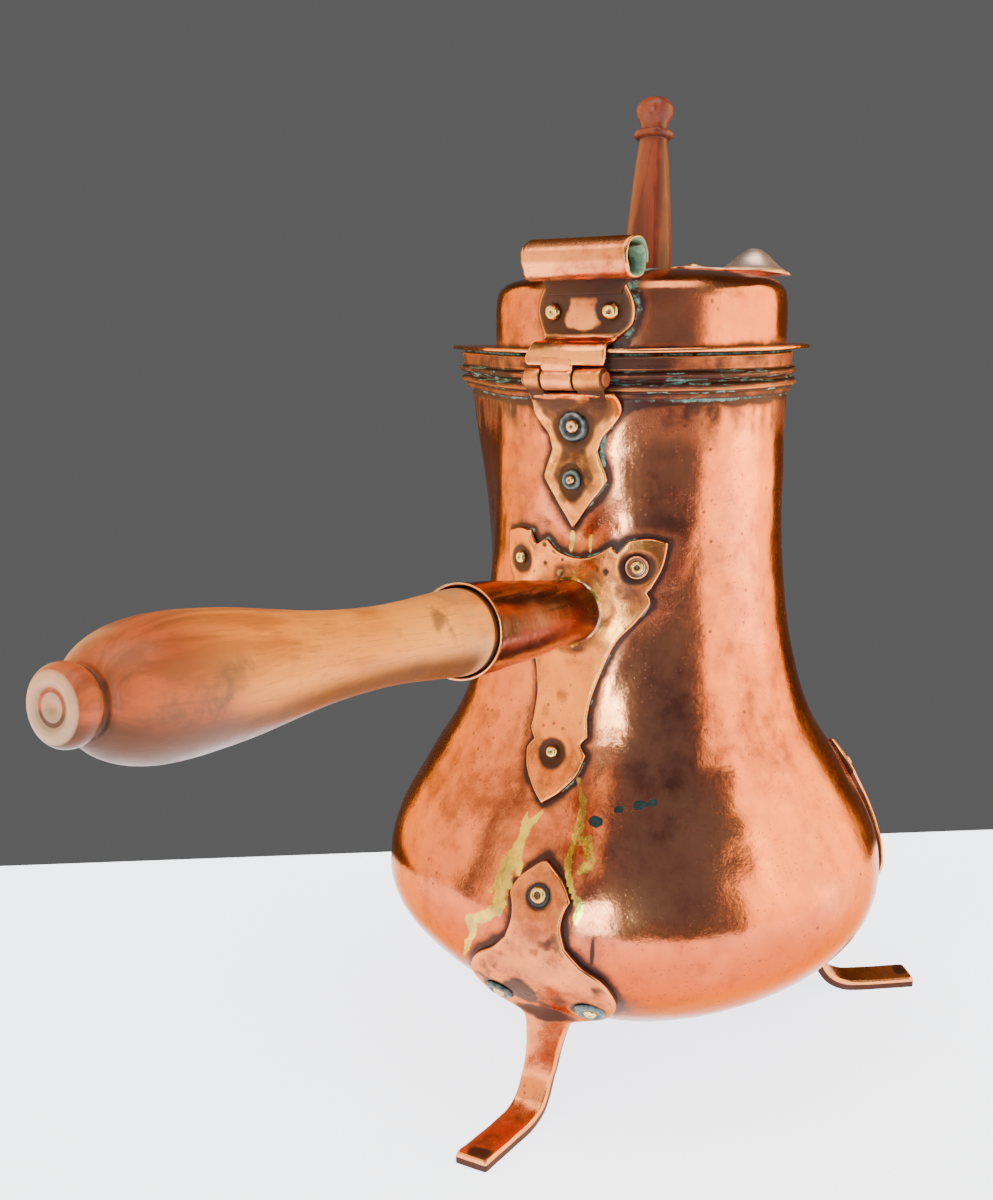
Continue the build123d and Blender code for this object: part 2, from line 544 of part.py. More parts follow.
# ------------------------------------------------------------------ swivel cover
pr = math.hypot(*PIVOT)
pu = (PIVOT[0] / pr, PIVOT[1] / pr)
t_p = None
lo_t, hi_t = 5.0, float(dome_n)
for _ in range(60):
    m = (lo_t + hi_t) / 2
    if curve_pt(DOME, m)[0] > pr:
        lo_t = m
    else:
        hi_t = m
p2 = curve_pt(DOME, lo_t)
pz = p2[1]
paxis = (math.sin(PIVOT_TILT) * pu[0], math.sin(PIVOT_TILT) * pu[1], math.cos(PIVOT_TILT))
PL = Plane(origin=(PIVOT[0], PIVOT[1], pz), z_dir=paxis,
           x_dir=(math.cos(COVER_DIR), math.sin(COVER_DIR),
                  -(paxis[0] * math.cos(COVER_DIR) + paxis[1] * math.sin(COVER_DIR)) / paxis[2])).location
CB = 0.35                                   # height of the cover's underside over the lid
cv = [
    Spline((-8.6, 0.0, CB), (-6.2, 6.0, CB), (0.0, 8.4, CB), (8.0, 7.6, CB), (13.0, 10.2, CB), (21.6, 12.5, CB),
           (29.0, 9.4, CB), (35.0, 0.0, CB)),
    Spline((35.0, 0.0, CB), (29.0, -9.4, CB), (21.6, -12.5, CB), (13.0, -10.2, CB), (8.0, -7.6, CB),
           (0.0, -8.4, CB), (-6.2, -6.0, CB), (-8.6, 0.0, CB)),
]
cover = extrude(make_face(cv[0] + cv[1]), amount=COVER_T, dir=(0, 0, 1))
boss = [(11.4, CB + COVER_T * 0.5), (10.2, 1.75), (8.4, 3.2), (6.2, 5.3), (4.2, 6.9), (2.7, 7.6), (2.3, 8.2), (0.0, 8.4)]
bi = [(0.0, 7.3), (1.9, 6.6), (3.6, 5.8), (5.4, 4.2), (7.6, 2.0), (9.6, CB)]
bf = make_face(Polyline(*[(r, 0, z) for r, z in boss], *[(r, 0, z) for r, z in bi], (11.4, 0, CB),
                        (11.4, 0, CB + COVER_T * 0.5)))
dome_boss = revolve(bf, Axis.Z).moved(Location((COVER_ARM, 0, 0)))
cover = cover - Cylinder(9.6, 4).moved(Location((COVER_ARM, 0, CB))) + dome_boss
cover = cover - Cylinder(1.95, 10)
cover = PL * cover
pivot = Cylinder(1.9, CB + COVER_T + 0.12 + DOME_T + 0.6, align=(Align.CENTER, Align.CENTER, Align.MIN)).moved(
    Location((0, 0, -DOME_T - 0.3)))
hr, hh = 3.3, 1.5
rr_ = (hr ** 2 + hh ** 2) / (2 * hh)
hz0 = CB + COVER_T + 0.12
pivot = pivot + (Sphere(rr_).moved(Location((0, 0, hz0 + hh - rr_))) & Cylinder(
    hr, 10, align=(Align.CENTER, Align.CENTER, Align.MIN)).moved(Location((0, 0, hz0))))
pivot = pivot + Cylinder(3.0, 0.9, align=(Align.CENTER, Align.CENTER, Align.MAX)).moved(
    Location((0, 0, -DOME_T - 0.2)))
pivot = PL * pivot
dome = dome - (PL * Cylinder(1.93, 12))

# ------------------------------------------------------------------ stirrer
nd = math.sqrt(sum(c * c for c in STIR_DIR))
sd = tuple(c / nd for c in STIR_DIR)
lid_z = 292.7
top_s = (STIR_TOP_Z - lid_z) / sd[2]
top_p = (HOLE_X + sd[0] * top_s, HOLE_Y + sd[1] * top_s, lid_z + sd[2] * top_s)
bot_p = tuple(top_p[i] - sd[i] * STIR_LEN for i in range(3))
SL = Plane(origin=bot_p, z_dir=sd).location
HEAD_L = 44.0
rod_d = [(0.0, 0.0), (0.5, 2.6), (1.6, 4.7), (3.2, 6.1), (4.8, 6.55), (6.6, 6.2), (8.6, 5.2), (10.3, 4.65), (11.6, 4.85)]
rp = [(r, 0.0, STIR_LEN - d) for d, r in rod_d]
knob_line = Spline(*rp)
rest = [(4.85, STIR_LEN - 11.6), (6.4, STIR_LEN - 11.9), (6.95, STIR_LEN - 12.6), (6.95, STIR_LEN - 13.6),
        (6.3, STIR_LEN - 14.3), (4.9, STIR_LEN - 14.6)]
e = knob_line + Polyline(*[(r, 0.0, s) for r, s in rest])
shaft = [(4.9, STIR_LEN - 14.6), (6.6, STIR_LEN - 30.0), (8.0, STIR_LEN - 48.4), (8.55, STIR_LEN - 60.0),
         (8.7, STIR_LEN - 74.0), (8.3, STIR_LEN - 95.0), (7.2, STIR_LEN - 130.0), (6.2, STIR_LEN - 200.0),
         (5.6, HEAD_L + 6.0), (5.6, HEAD_L)]
e = e + Spline(*[(r, 0.0, s) for r, s in shaft])
e = e + Polyline((5.6, 0, HEAD_L), (3.5, 0, HEAD_L), (3.5, 0, 12.0), (0, 0, 12.0), (0, 0, STIR_LEN))
stirrer_rod = SL * revolve(make_face(e), Axis.Z)
hp = [(0.0, 0.0), (3.0, 0.2), (6.0, 2.2), (7.8, 6.5), (8.0, 10.0), (8.0, 34.0), (7.4, 39.0), (6.0, 42.6), (5.7, 43.95),
      (3.55, 43.95), (3.55, 11.9), (0.0, 11.9)]
hf = make_face(Polyline(*[(r, 0, z) for r, z in hp], (0, 0, 0)))
head = revolve(hf, Axis.Z)
for i in range(6):
    a = i * 60.0
    flute = Box(6.0, 1.8, 22.0).moved(Location((8.4, 0, 20.0)))
    head = head - (Location((0, 0, 0), (0, 0, 1), a) * flute)
stirrer_head = SL * head

# ------------------------------------------------------------------ export
nodes = {
    "vessel": vessel,
    "rim_band": band,
    "hinge_lower_leaf": lower_leaf,
    "hinge_pin": pin,
    "hinge_lower_rivets": group(low_rivets),
    "hinge_lower_washers": group(low_washers),
    "handle_plate": handle_plate,
    "handle_rivets": group(handle_rivets),
    "handle_washer": handle_washer,
    "handle_socket": socket,
    "handle_grip": grip,
    "lid_dome": dome,
    "lid_flange": flange,
    "lid_collar": collar,
    "hinge_upper_leaf": upper_leaf,
    "hinge_upper_rivets": group(up_rivets),
    "cover_pivot_rivet": pivot,
    "swivel_cover": cover,
    "stirrer_rod": stirrer_rod,
    "stirrer_head": stirrer_head,
}
for name, (ang, dz, reach, lean) in feet.items():
    rot = Location((0, 0, 0), (0, 0, 1), ang)
    made = foot_made[name]
    nodes[name] = rot * made[0]
    nodes[name + "_rivets"] = group([rot * s for s in made[1]])
    nodes[name + "_washers"] = group([rot * s for s in made[2]])

for name, shape in nodes.items():
    export_step(shape, "parts/" + name + ".step")
print("pivot z", round(pz, 3), "axis", [round(c, 4) for c in paxis], "stirrer dir", [round(c, 5) for c in sd],
      "bottom", [round(c, 2) for c in bot_p])
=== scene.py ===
import math

import bpy
import numpy as np
from mathutils import Vector, Matrix
from mathutils.geometry import delaunay_2d_cdt


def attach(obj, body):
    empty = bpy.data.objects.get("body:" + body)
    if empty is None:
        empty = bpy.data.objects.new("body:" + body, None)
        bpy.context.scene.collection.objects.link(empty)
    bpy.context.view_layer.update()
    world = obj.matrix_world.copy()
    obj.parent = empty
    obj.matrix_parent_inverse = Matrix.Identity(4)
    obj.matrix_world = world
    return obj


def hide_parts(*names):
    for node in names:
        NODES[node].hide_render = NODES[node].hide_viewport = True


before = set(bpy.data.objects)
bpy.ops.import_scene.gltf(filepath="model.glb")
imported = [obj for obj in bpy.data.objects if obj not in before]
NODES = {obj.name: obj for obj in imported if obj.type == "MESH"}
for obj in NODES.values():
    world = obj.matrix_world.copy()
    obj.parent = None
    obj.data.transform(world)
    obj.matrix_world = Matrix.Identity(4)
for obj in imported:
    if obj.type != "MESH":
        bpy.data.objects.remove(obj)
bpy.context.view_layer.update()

# ---------------------------------------------------------------- sizes (mm)
WALL, GAP, RIM_Z = 1.3, 0.05, 264.7
PROFILE = [(0.0, 13.2), (18.0, 13.9), (36.1, 17.1), (49.4, 21.9), (64.6, 31.4),
           (82.2, 45.5), (93.4, 61.5), (95.0, 75.0), (92.3, 87.0), (81.5, 107.3),
           (67.2, 130.7), (58.7, 159.1), (54.7, 189.9), (53.3, 223.1),
           (53.1, 245.0), (53.1, RIM_Z)]
RIDGE = [(140.0, 60.5), (150.0, 61.9), (160.0, 62.4), (175.0, 62.9), (190.0, 63.6),
         (206.0, 65.2), (218.0, 66.9), (236.0, 70.2), (250.0, 72.3), (RIM_Z, 75.0)]
HINGE_R, HINGE_Z, KNUCKLE_R = 60.8, 257.0, 3.8
KNUCKLES = [(-13.8, -7.75), (-7.45, 3.75), (4.05, 13.8)]
LEAF_T, PLATE_T, FOOT_T, STRAP_T = 1.5, 1.6, 2.4, 4.4
HANDLE_E, HANDLE_Z0 = math.radians(7.9), 171.2
SOCKET_S1, SOCKET_R0, SOCKET_R1, SOCKET_T = 130.0, 11.1, 14.5, 1.0
DOME = [(52.2, 266.3), (52.15, 275.0), (51.8, 281.5), (50.8, 285.2), (48.0, 287.9),
        (43.5, 289.4), (36.0, 290.8), (26.0, 291.9), (14.0, 292.7), (0.0, 293.1)]
DOME_T = 1.2
HOLE_X, HOLE_Y, HOLE_R = 2.1, 0.8, 10.5


# ---------------------------------------------------------------- small maths
def smooth(x, a, b):
    t = np.clip((np.asarray(x, float) - a) / (b - a), 0, 1)
    return t * t * (3 - 2 * t)


def _lat(ix, iy, iz, seed):
    h = (ix.astype(np.int64) * 374761393 + iy.astype(np.int64) * 668265263
         + iz.astype(np.int64) * 1440662683 + seed * 974634777) & 0xFFFFFFFF
    h = ((h ^ (h >> 13)) * 1274126177) & 0xFFFFFFFF
    h = (h ^ (h >> 16)) & 0xFFFFFFFF
    h = (h * 2654435761) & 0xFFFFFFFF
    return ((h >> 8) & 0xFFFF) / 32767.5 - 1.0


def vnoise(P, size, seed=1):
    """Smooth value noise, -1..1, lumps of the given size."""
    P = np.asarray(P, float) / size
    i = np.floor(P).astype(np.int64)
    f = P - i
    f = f * f * f * (f * (f * 6 - 15) + 10)
    out = 0.0
    for dx in (0, 1):
        wx = f[..., 0] if dx else 1 - f[..., 0]
        for dy in (0, 1):
            wy = f[..., 1] if dy else 1 - f[..., 1]
            for dz in (0, 1):
                wz = f[..., 2] if dz else 1 - f[..., 2]
                out = out + wx * wy * wz * _lat(i[..., 0] + dx, i[..., 1] + dy, i[..., 2] + dz, seed)
    return out


def fbm(P, size, seed=1, octaves=3):
    out, amp, tot = 0.0, 1.0, 0.0
    for k in range(octaves):
        out = out + amp * vnoise(P, size / (2.03 ** k), seed + 17 * k)
        tot += amp
        amp *= 0.5
    return out / tot


def cr_path(pts, per=12, first=None):
    """Centripetal Catmull-Rom through 2-D or 3-D points, sampled."""
    P = [np.array(p, float) for p in pts]
    if len(P) == 2:
        return np.array([P[0] + (P[1] - P[0]) * t for t in np.linspace(0, 1, per + 1)])
    a = np.array(first, float) if first is not None else 2 * P[0] - P[1]
    b = 2 * P[-1] - P[-2]
    Q = [a] + P + [b]
    out = []
    for i in range(1, len(Q) - 2):
        p0, p1, p2, p3 = Q[i - 1:i + 3]
        d = lambda u, v: max(np.linalg.norm(u - v) ** 0.5, 1e-6)
        t0 = 0.0
        t1 = t0 + d(p0, p1)
        t2 = t1 + d(p1, p2)
        t3 = t2 + d(p2, p3)
        for t in np.linspace(t1, t2, per + 1)[:-1]:
            a1 = (t1 - t) / (t1 - t0) * p0 + (t - t0) / (t1 - t0) * p1
            a2 = (t2 - t) / (t2 - t1) * p1 + (t - t1) / (t2 - t1) * p2
            a3 = (t3 - t) / (t3 - t2) * p2 + (t - t2) / (t3 - t2) * p3
            b1 = (t2 - t) / (t2 - t0) * a1 + (t - t0) / (t2 - t0) * a2
            b2 = (t3 - t) / (t3 - t1) * a2 + (t - t1) / (t3 - t1) * a3
            out.append((t2 - t) / (t2 - t1) * b1 + (t - t1) / (t2 - t1) * b2)
    out.append(P[-1])
    return np.array(out)


def resample(path, step):
    path = np.asarray(path, float)
    seg = np.linalg.norm(np.diff(path, axis=0), axis=1)
    s = np.concatenate([[0], np.cumsum(seg)])
    n = max(2, int(round(s[-1] / step)) + 1)
    q = np.linspace(0, s[-1], n)
    return np.stack([np.interp(q, s, path[:, k]) for k in range(path.shape[1])], 1)


PROF = cr_path(PROFILE, 40, first=(-18.0, 13.9))
_k = 40 * 2
PZ, PR = PROF[_k:, 1], PROF[_k:, 0]
_d = np.gradient(PROF, axis=0)
_d /= np.linalg.norm(_d, axis=1)[:, None]
PN = np.stack([_d[:, 1], -_d[:, 0]], 1)


def r_at(z):
    return np.interp(z, PZ, PR)


def n_at(z):
    a, b = np.interp(z, PZ, PN[_k:, 0]), np.interp(z, PZ, PN[_k:, 1])
    L = np.hypot(a, b)
    return a / L, b / L


def skin(x, z, d):
    """Point on the vessel's skin, offset d, from lateral x and height z (front side)."""
    x, z, d = np.broadcast_arrays(np.asarray(x, float), np.asarray(z, float), np.asarray(d, float))
    r = r_at(z)
    nr, nz = n_at(z)
    a = np.arcsin(np.clip(x / r, -0.98, 0.98))
    rr = r + nr * d
    return np.stack([rr * np.sin(a), -rr * np.cos(a), z + nz * d], -1)


def skin_frame(x, z):
    r = float(r_at(z))
    nr, nz = n_at(z)
    a = math.asin(x / r)
    return (np.array([r * math.sin(a), -r * math.cos(a), z]),
            np.array([float(nr) * math.sin(a), -float(nr) * math.cos(a), float(nz)]))


def ridge_rho(z):
    zz, rr = zip(*RIDGE)
    return np.interp(z, zz, rr)


def beaked(phi, r, rho, d=0.0, eps=0.014):
    """Radius of a circle with a wedge tangent to it, phi measured from the wedge's tip."""
    ph = np.arccos(np.clip(r / np.maximum(rho, r + 1e-6), -1, 1))
    f = np.sqrt(phi * phi + eps * eps)
    return np.where(f < ph, (r + d) / np.cos(np.maximum(ph - f, 0)), r + d)


def rot_z(P, deg):
    a = math.radians(deg)
    c, s = math.cos(a), math.sin(a)
    P = np.asarray(P, float)
    return np.stack([c * P[..., 0] - s * P[..., 1], s * P[..., 0] + c * P[..., 1], P[..., 2]], -1)


def swell(P):
    """Small hand-made unevenness of the belly, outwards."""
    P = np.array(P, float)
    th = np.degrees(np.arctan2(P[..., 1], P[..., 0]))
    rr = np.hypot(P[..., 0], P[..., 1])

    def lobe(centre, width, zc, zw, amp):
        dth = (th - centre + 180) % 360 - 180
        return amp * np.exp(-(dth / width) ** 2) * np.exp(-((P[..., 2] - zc) / zw) ** 2)
    dr = SWELL_A * lobe(-150, 48, 55, 26, 1.0) + SWELL_B * lobe(0, 40, 55, 26, 1.0)
    k = (rr + dr) / np.maximum(rr, 1e-6)
    P[..., 0] *= k
    P[..., 1] *= k
    return P


SWELL_A, SWELL_B = 2.6, 1.0


# ---------------------------------------------------------------- mesh pieces
ATTRS = ("m_dark", "m_verd", "m_brass", "m_edge", "m_tint")


class Part:
    def __init__(self):
        self.v, self.f, self.n = [], [], 0
        self.a = {k: [] for k in ATTRS}

    def add(self, V, F, flip=False, **attrs):
        V = np.asarray(V, float).reshape(-1, 3)
        base = self.n
        self.v.append(V)
        self.n += len(V)
        for f in F:
            f = [int(i) + base for i in f]
            self.f.append(tuple(reversed(f)) if flip else tuple(f))
        for k in ATTRS:
            val = attrs.get(k, 0.0)
            self.a[k].append(np.broadcast_to(np.asarray(val, float).ravel() if np.ndim(val) else val, (len(V),)).astype(float))
        return base

    def grid(self, G, closed=True, caps=(False, False), flip=False, **attrs):
        """G[row, column] of points; columns close on themselves."""
        R, C = G.shape[:2]
        i = np.arange(R - 1)[:, None] * C
        j = np.arange(C if closed else C - 1)[None, :]
        jn = (j + 1) % C
        q = np.stack([i + j, i + jn, i + C + jn, i + C + j], -1).reshape(-1, 4)
        F = [tuple(x) for x in q.tolist()]
        if caps[0]:
            F.append(tuple(range(C))[::-1])
        if caps[1]:
            F.append(tuple(range((R - 1) * C, R * C)))
        at = {k: (np.broadcast_to(v, (R, C)).ravel() if np.ndim(v) else v) for k, v in attrs.items()}
        return self.add(G.reshape(-1, 3), F, flip, **at)

    def obj(self, name, mat, body, slot=None, nodes=(), sw=False, flat_angle=None, mats=None, face_mat=None):
        V = np.concatenate(self.v)
        if sw:
            V = swell(V)
        me = bpy.data.meshes.new(name)
        me.from_pydata((V * 0.001).tolist(), [], self.f)
        me.validate(verbose=False)
        for k in ATTRS:
            arr = np.concatenate(self.a[k]).astype(np.float32)
            if np.any(arr > 0.001) and len(arr) == len(me.vertices):
                at = me.attributes.new(k, "FLOAT", "POINT")
                at.data.foreach_set("value", arr)
        me.polygons.foreach_set("use_smooth", [True] * len(me.polygons))
        if flat_angle:
            me.set_sharp_from_angle(angle=math.radians(flat_angle))
        o = bpy.data.objects.new(name, me)
        bpy.context.scene.collection.objects.link(o)
        for m in (mats or [mat]):
            me.materials.append(m)
        if face_mat is not None:
            me.polygons.foreach_set("material_index", face_mat)
        me.update()
        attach(o, body)
        if nodes:
            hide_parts(*nodes)
        return o


def axes_of(n, xhint=(1, 0, 0)):
    n = np.array(n, float)
    n /= np.linalg.norm(n)
    x = np.array(xhint, float)
    x = x - n * x.dot(n)
    if np.linalg.norm(x) < 1e-6:
        x = np.array([0, 1.0, 0]) - n * n[1]
    x /= np.linalg.norm(x)
    return x, np.cross(n, x), n


def turned(part, prof, origin, axis, n=64, xhint=(1, 0, 0), wob=None, closed_prof=False, **attrs):
    """Revolve (r, s) points about an axis. Points with r = 0 close the ends."""
    x, y, a = axes_of(axis, xhint)
    prof = np.asarray(prof, float)
    th = np.linspace(0, 2 * np.pi, n, endpoint=False)
    r = np.maximum(prof[:, 0], 1e-4)[:, None] * np.ones(n)
    s = prof[:, 1][:, None] * np.ones(n)
    if wob is not None:
        r, s = wob(r, s, th[None, :] * np.ones_like(r))
    G = (np.array(origin, float) + r[..., None] * (np.cos(th)[None, :, None] * x + np.sin(th)[None, :, None] * y)
         + s[..., None] * a)
    if closed_prof:
        G = np.concatenate([G, G[:1]])
        attrs = {k: (np.concatenate([v, np.asarray(v)[:1]]) if np.ndim(v) else v) for k, v in attrs.items()}
    at = {}
    for k, v in attrs.items():
        v = np.asarray(v, float)
        at[k] = v[:, None] * np.ones(n) if v.ndim == 1 else v
        if v.ndim == 0:
            at[k] = float(v)
    part.grid(G, flip=True, **at)
    return G


def seg_outline(segs, step=0.8):
    pts = []
    for s in segs:
        p = cr_path(s, 16)
        p = resample(p, step)
        pts.append(p[:-1])
    return np.concatenate(pts)


def edge_dist(P, loop):
    """Distance from points to a closed polyline."""
    a = loop
    b = np.roll(loop, -1, axis=0)
    out = np.full(len(P), 1e9)
    ab = b - a
    L2 = np.maximum((ab ** 2).sum(1), 1e-12)
    for i0 in range(0, len(P), 4000):
        p = P[i0:i0 + 4000]
        t = np.clip(((p[:, None] - a) * ab).sum(-1) / L2, 0, 1)
        q = a + t[..., None] * ab
        out[i0:i0 + 4000] = np.sqrt(((p[:, None] - q) ** 2).sum(-1)).min(1)
    return out


def inside(P, loop):
    x, y = P[:, 0], P[:, 1]
    c = np.zeros(len(P), bool)
    a = loop
    b = np.roll(loop, -1, axis=0)
    for (x0, y0), (x1, y1) in zip(a, b):
        m = (y0 > y) != (y1 > y)
        with np.errstate(divide="ignore", invalid="ignore"):
            xi = (x1 - x0) * (y - y0) / (y1 - y0 + 1e-12) + x0
        c ^= m & (x < xi)
    return c


def cut_sheet(part, loop, place, thick, edge_r=0.9, cell=1.3, lowest=0.3, top=None, attrs=None, seed=1, wob=0.12,
              under=None, dip=None, edge_col=1.0, side=None):
    """A hand-cut sheet: loop is its outline in its own flat coordinates; place(u, v, d) gives the point at height d."""
    loop = np.asarray(loop, float)
    if wob:
        L3 = np.stack([loop[:, 0], loop[:, 1], 0 * loop[:, 0]], 1)
        loop = loop + wob * np.stack([vnoise(L3, 5.0, seed), vnoise(L3, 5.0, seed + 3)], 1)
    n = len(loop)
    area = 0.5 * np.sum(loop[:, 0] * np.roll(loop[:, 1], -1) - loop[:, 1] * np.roll(loop[:, 0], -1))
    if area < 0:
        loop = loop[::-1]
    tang = np.roll(loop, -1, axis=0) - np.roll(loop, 1, axis=0)
    tang /= np.maximum(np.linalg.norm(tang, axis=1), 1e-9)[:, None]
    inn = np.stack([-tang[:, 1], tang[:, 0]], 1)
    cand = []
    rings = [edge_r * f for f in (0.12, 0.34, 0.66, 1.0)] + [edge_r + cell * 0.75]
    for d in rings:
        q = loop + inn * d
        ok = inside(q, loop)
        q = q[ok]
        if len(q):
            dd = edge_dist(q, loop)
            q = q[dd > d * 0.93]
            cand.append(q)
    lo, hi = loop.min(0), loop.max(0)
    gx = np.arange(lo[0] + cell * 0.4, hi[0], cell)
    gy = np.arange(lo[1] + cell * 0.4, hi[1], cell * 0.9)
    g = np.array([(a + (0.5 * cell if k % 2 else 0), b) for k, b in enumerate(gy) for a in gx])
    g = g[inside(g, loop)]
    g = g[edge_dist(g, loop) > rings[-1] + cell * 0.45]
    cand.append(g)
    pts = np.concatenate([loop] + cand)
    V2, _, F, _, _, _ = delaunay_2d_cdt([Vector(p) for p in pts], [], [list(range(n))], 1, 1e-5)
    uv = np.array([(p[0], p[1]) for p in V2])
    F = [tuple(f) for f in F if len(f) == 3]
    dist = edge_dist(uv, loop)
    q = np.clip(dist / edge_r, 0, 1)
    prof = lowest + (1 - lowest) * np.sqrt(np.maximum(0, 1 - (1 - q) ** 2))
    T = thick(uv[:, 0], uv[:, 1]) if callable(thick) else thick
    h = T * prof
    if top is not None:
        h = h + top(uv[:, 0], uv[:, 1], dist) * smooth(dist, 0, edge_r * 1.5)
    if dip is not None:
        h = h - dip(uv[:, 0], uv[:, 1])
    up = place(uv[:, 0], uv[:, 1], h)
    u0 = under(uv[:, 0], uv[:, 1]) if under is not None else 0.0
    dn = place(uv[:, 0], uv[:, 1], u0 + 0 * h)
    at = attrs(uv[:, 0], uv[:, 1], dist) if attrs else {}
    at.setdefault("m_edge", np.exp(-dist / 0.55) * edge_col)
    m = len(uv)
    area2 = lambda f: ((uv[f[1]] - uv[f[0]])[0] * (uv[f[2]] - uv[f[0]])[1] - (uv[f[1]] - uv[f[0]])[1] * (uv[f[2]] - uv[f[0]])[0])
    F = [f if area2(f) > 0 else (f[0], f[2], f[1]) for f in F]
    used = {}
    for f in F:
        for a, b in ((f[0], f[1]), (f[1], f[2]), (f[2], f[0])):
            used[(a, b)] = used.get((a, b), 0) + 1
    rim = [(a, b) for (a, b) in used if (b, a) not in used]
    faces = list(F) + [(f[0] + m, f[2] + m, f[1] + m) for f in F]
    if side is None:
        faces += [(b, a, a + m, b + m) for a, b in rim]
        at2 = {k: np.concatenate([np.broadcast_to(v, (m,)), np.broadcast_to(v, (m,))]) for k, v in at.items()}
        extra = np.zeros((0, 3))
    else:
        # the wall under the worn edge is left dark
        ids = sorted({a for a, _ in rim})
        pos = {a: 2 * m + i for i, a in enumerate(ids)}
        wall = place(uv[ids, 0], uv[ids, 1], (np.broadcast_to(u0, (m,)) + 0.84 * (h - u0))[ids])
        extra = wall
        faces += [(b, a, pos[a], pos[b]) for a, b in rim] + [(pos[b], pos[a], a + m, b + m) for a, b in rim]
        low = dict(m_dark=side, m_edge=0.0, m_verd=0.0, m_brass=0.0, m_tint=0.0)
        at2 = {k: np.concatenate([np.broadcast_to(v, (m,)), np.full(m, low[k]), np.full(len(ids), low[k])]) for k, v in at.items()}
        at2.setdefault("m_dark", np.concatenate([np.zeros(m), np.full(m + len(ids), side)]))
    # does the top face outwards?
    a, b, c = up[F[0][0]], up[F[0][1]], up[F[0][2]]
    probe = place(uv[:1, 0], uv[:1, 1], h[:1] + 1.0)[0] - place(uv[:1, 0], uv[:1, 1], h[:1])[0]
    nrm = np.cross(b - a, c - a)
    part.add(np.concatenate([up, dn, extra]), faces, flip=bool(nrm.dot(probe) < 0), **at2)
    return uv, dist


# ---------------------------------------------------------------- outlines (x, z) in mm
def mir(s):
    return [(-x, z) for x, z in reversed(s)]


leaf_r = [(0.0, 207.5), (4.5, 214.0), (8.5, 219.5), (11.4, 223.8)]
leaf_r2 = [(11.4, 223.8), (9.9, 229.0), (8.1, 233.4)]
leaf_r3 = [(8.1, 233.4), (9.6, 238.0), (13.4, 242.3), (15.9, 246.5), (16.6, 250.0), (16.7, 252.6), (16.2, 254.9)]
leaf_l3 = [(-14.0, 254.9), (-14.3, 252.4), (-14.6, 249.8), (-14.9, 246.4), (-13.2, 242.3), (-9.6, 238.0), (-8.1, 233.4)]
LEAF_SEGS = [leaf_r, leaf_r2, leaf_r3, [(16.2, 254.9), (-14.0, 254.9)], leaf_l3, mir(leaf_r2), mir(leaf_r)]
PLATE_SEGS = [
    [(-27.5, 203.6), (-22.0, 205.1), (-17.1, 204.9)],
    [(-17.1, 204.9), (-14.6, 200.3)],
    [(-14.6, 200.3), (-10.2, 202.8)],
    [(-10.2, 202.8), (-6.0, 199.3), (1.2, 197.4), (8.0, 198.7), (13.4, 202.2)],
    [(13.4, 202.2), (15.2, 199.6)],
    [(15.2, 199.6), (18.6, 204.0)],
    [(18.6, 204.0), (24.5, 204.8), (30.2, 203.4)],
    [(30.2, 203.4), (28.9, 195.0), (26.0, 188.1)],
    [(26.0, 188.1), (24.7, 186.7)],
    [(24.7, 186.7), (25.9, 183.2), (22.9, 177.8), (16.4, 169.6), (12.8, 160.3), (10.3, 151.0), (9.6, 143.5),
     (10.4, 137.6)],
    [(10.4, 137.6), (8.4, 134.9)],
    [(8.4, 134.9), (10.9, 131.6)],
    [(10.9, 131.6), (9.0, 125.5), (4.2, 119.5), (-0.8, 116.0)],
    [(-0.8, 116.0), (-5.4, 119.9), (-9.6, 125.3), (-11.3, 131.2)],
    [(-11.3, 131.2), (-8.7, 134.6)],
    [(-8.7, 134.6), (-10.9, 137.6)],
    [(-10.9, 137.6), (-10.2, 143.5), (-10.2, 151.0), (-12.2, 160.3), (-16.0, 169.6), (-22.4, 177.8),
     (-25.2, 183.2), (-24.1, 187.0)],
    [(-24.1, 187.0), (-25.6, 188.6)],
    [(-25.6, 188.6), (-27.4, 195.4), (-27.5, 203.6)],
]
# angle about Z, plate raised by, toe reach, lean of the strap at the toe
FEET = {"front_foot": (4.0, 0.0, 117.0, 14.7), "right_foot": (125.0, 9.5, 121.0, 0.0), "left_foot": (238.0, 5.5, 118.5, 0.0)}
foot_up = [(0.0, 101.4), (3.4, 99.2), (7.4, 95.8), (10.8, 90.6)]
foot_mid = [(10.8, 90.6), (9.2, 86.5), (8.9, 82.0), (10.6, 76.0)]
foot_low = [(10.6, 76.0), (16.0, 70.3), (22.6, 65.4), (25.8, 58.8), (25.0, 51.5), (20.5, 46.0), (13.5, 43.0),
            (8.6, 40.6)]
LOW_RV = [(0.0, 241.4), (-0.6, 223.6)]
HP_RV = [(-20.6, 195.0), (21.4, 195.3), (-0.8, 131.4)]
FOOT_RV = [(0.0, 90.6), (-16.2, 51.2), (16.2, 51.2)]
UP_RV = [(-8.0, 277.9), (11.4, 277.9)]

leaf_loop = seg_outline(LEAF_SEGS, 0.7)
plate_loop = seg_outline(PLATE_SEGS, 0.8)
foot_loop = seg_outline([foot_up, foot_mid, foot_low, [(8.6, 40.6), (8.4, 38.0)], [(8.4, 38.0), (-8.4, 38.0)],
                         [(-8.4, 38.0), (-8.6, 40.6)], mir(foot_low), mir(foot_mid), mir(foot_up)], 0.8)


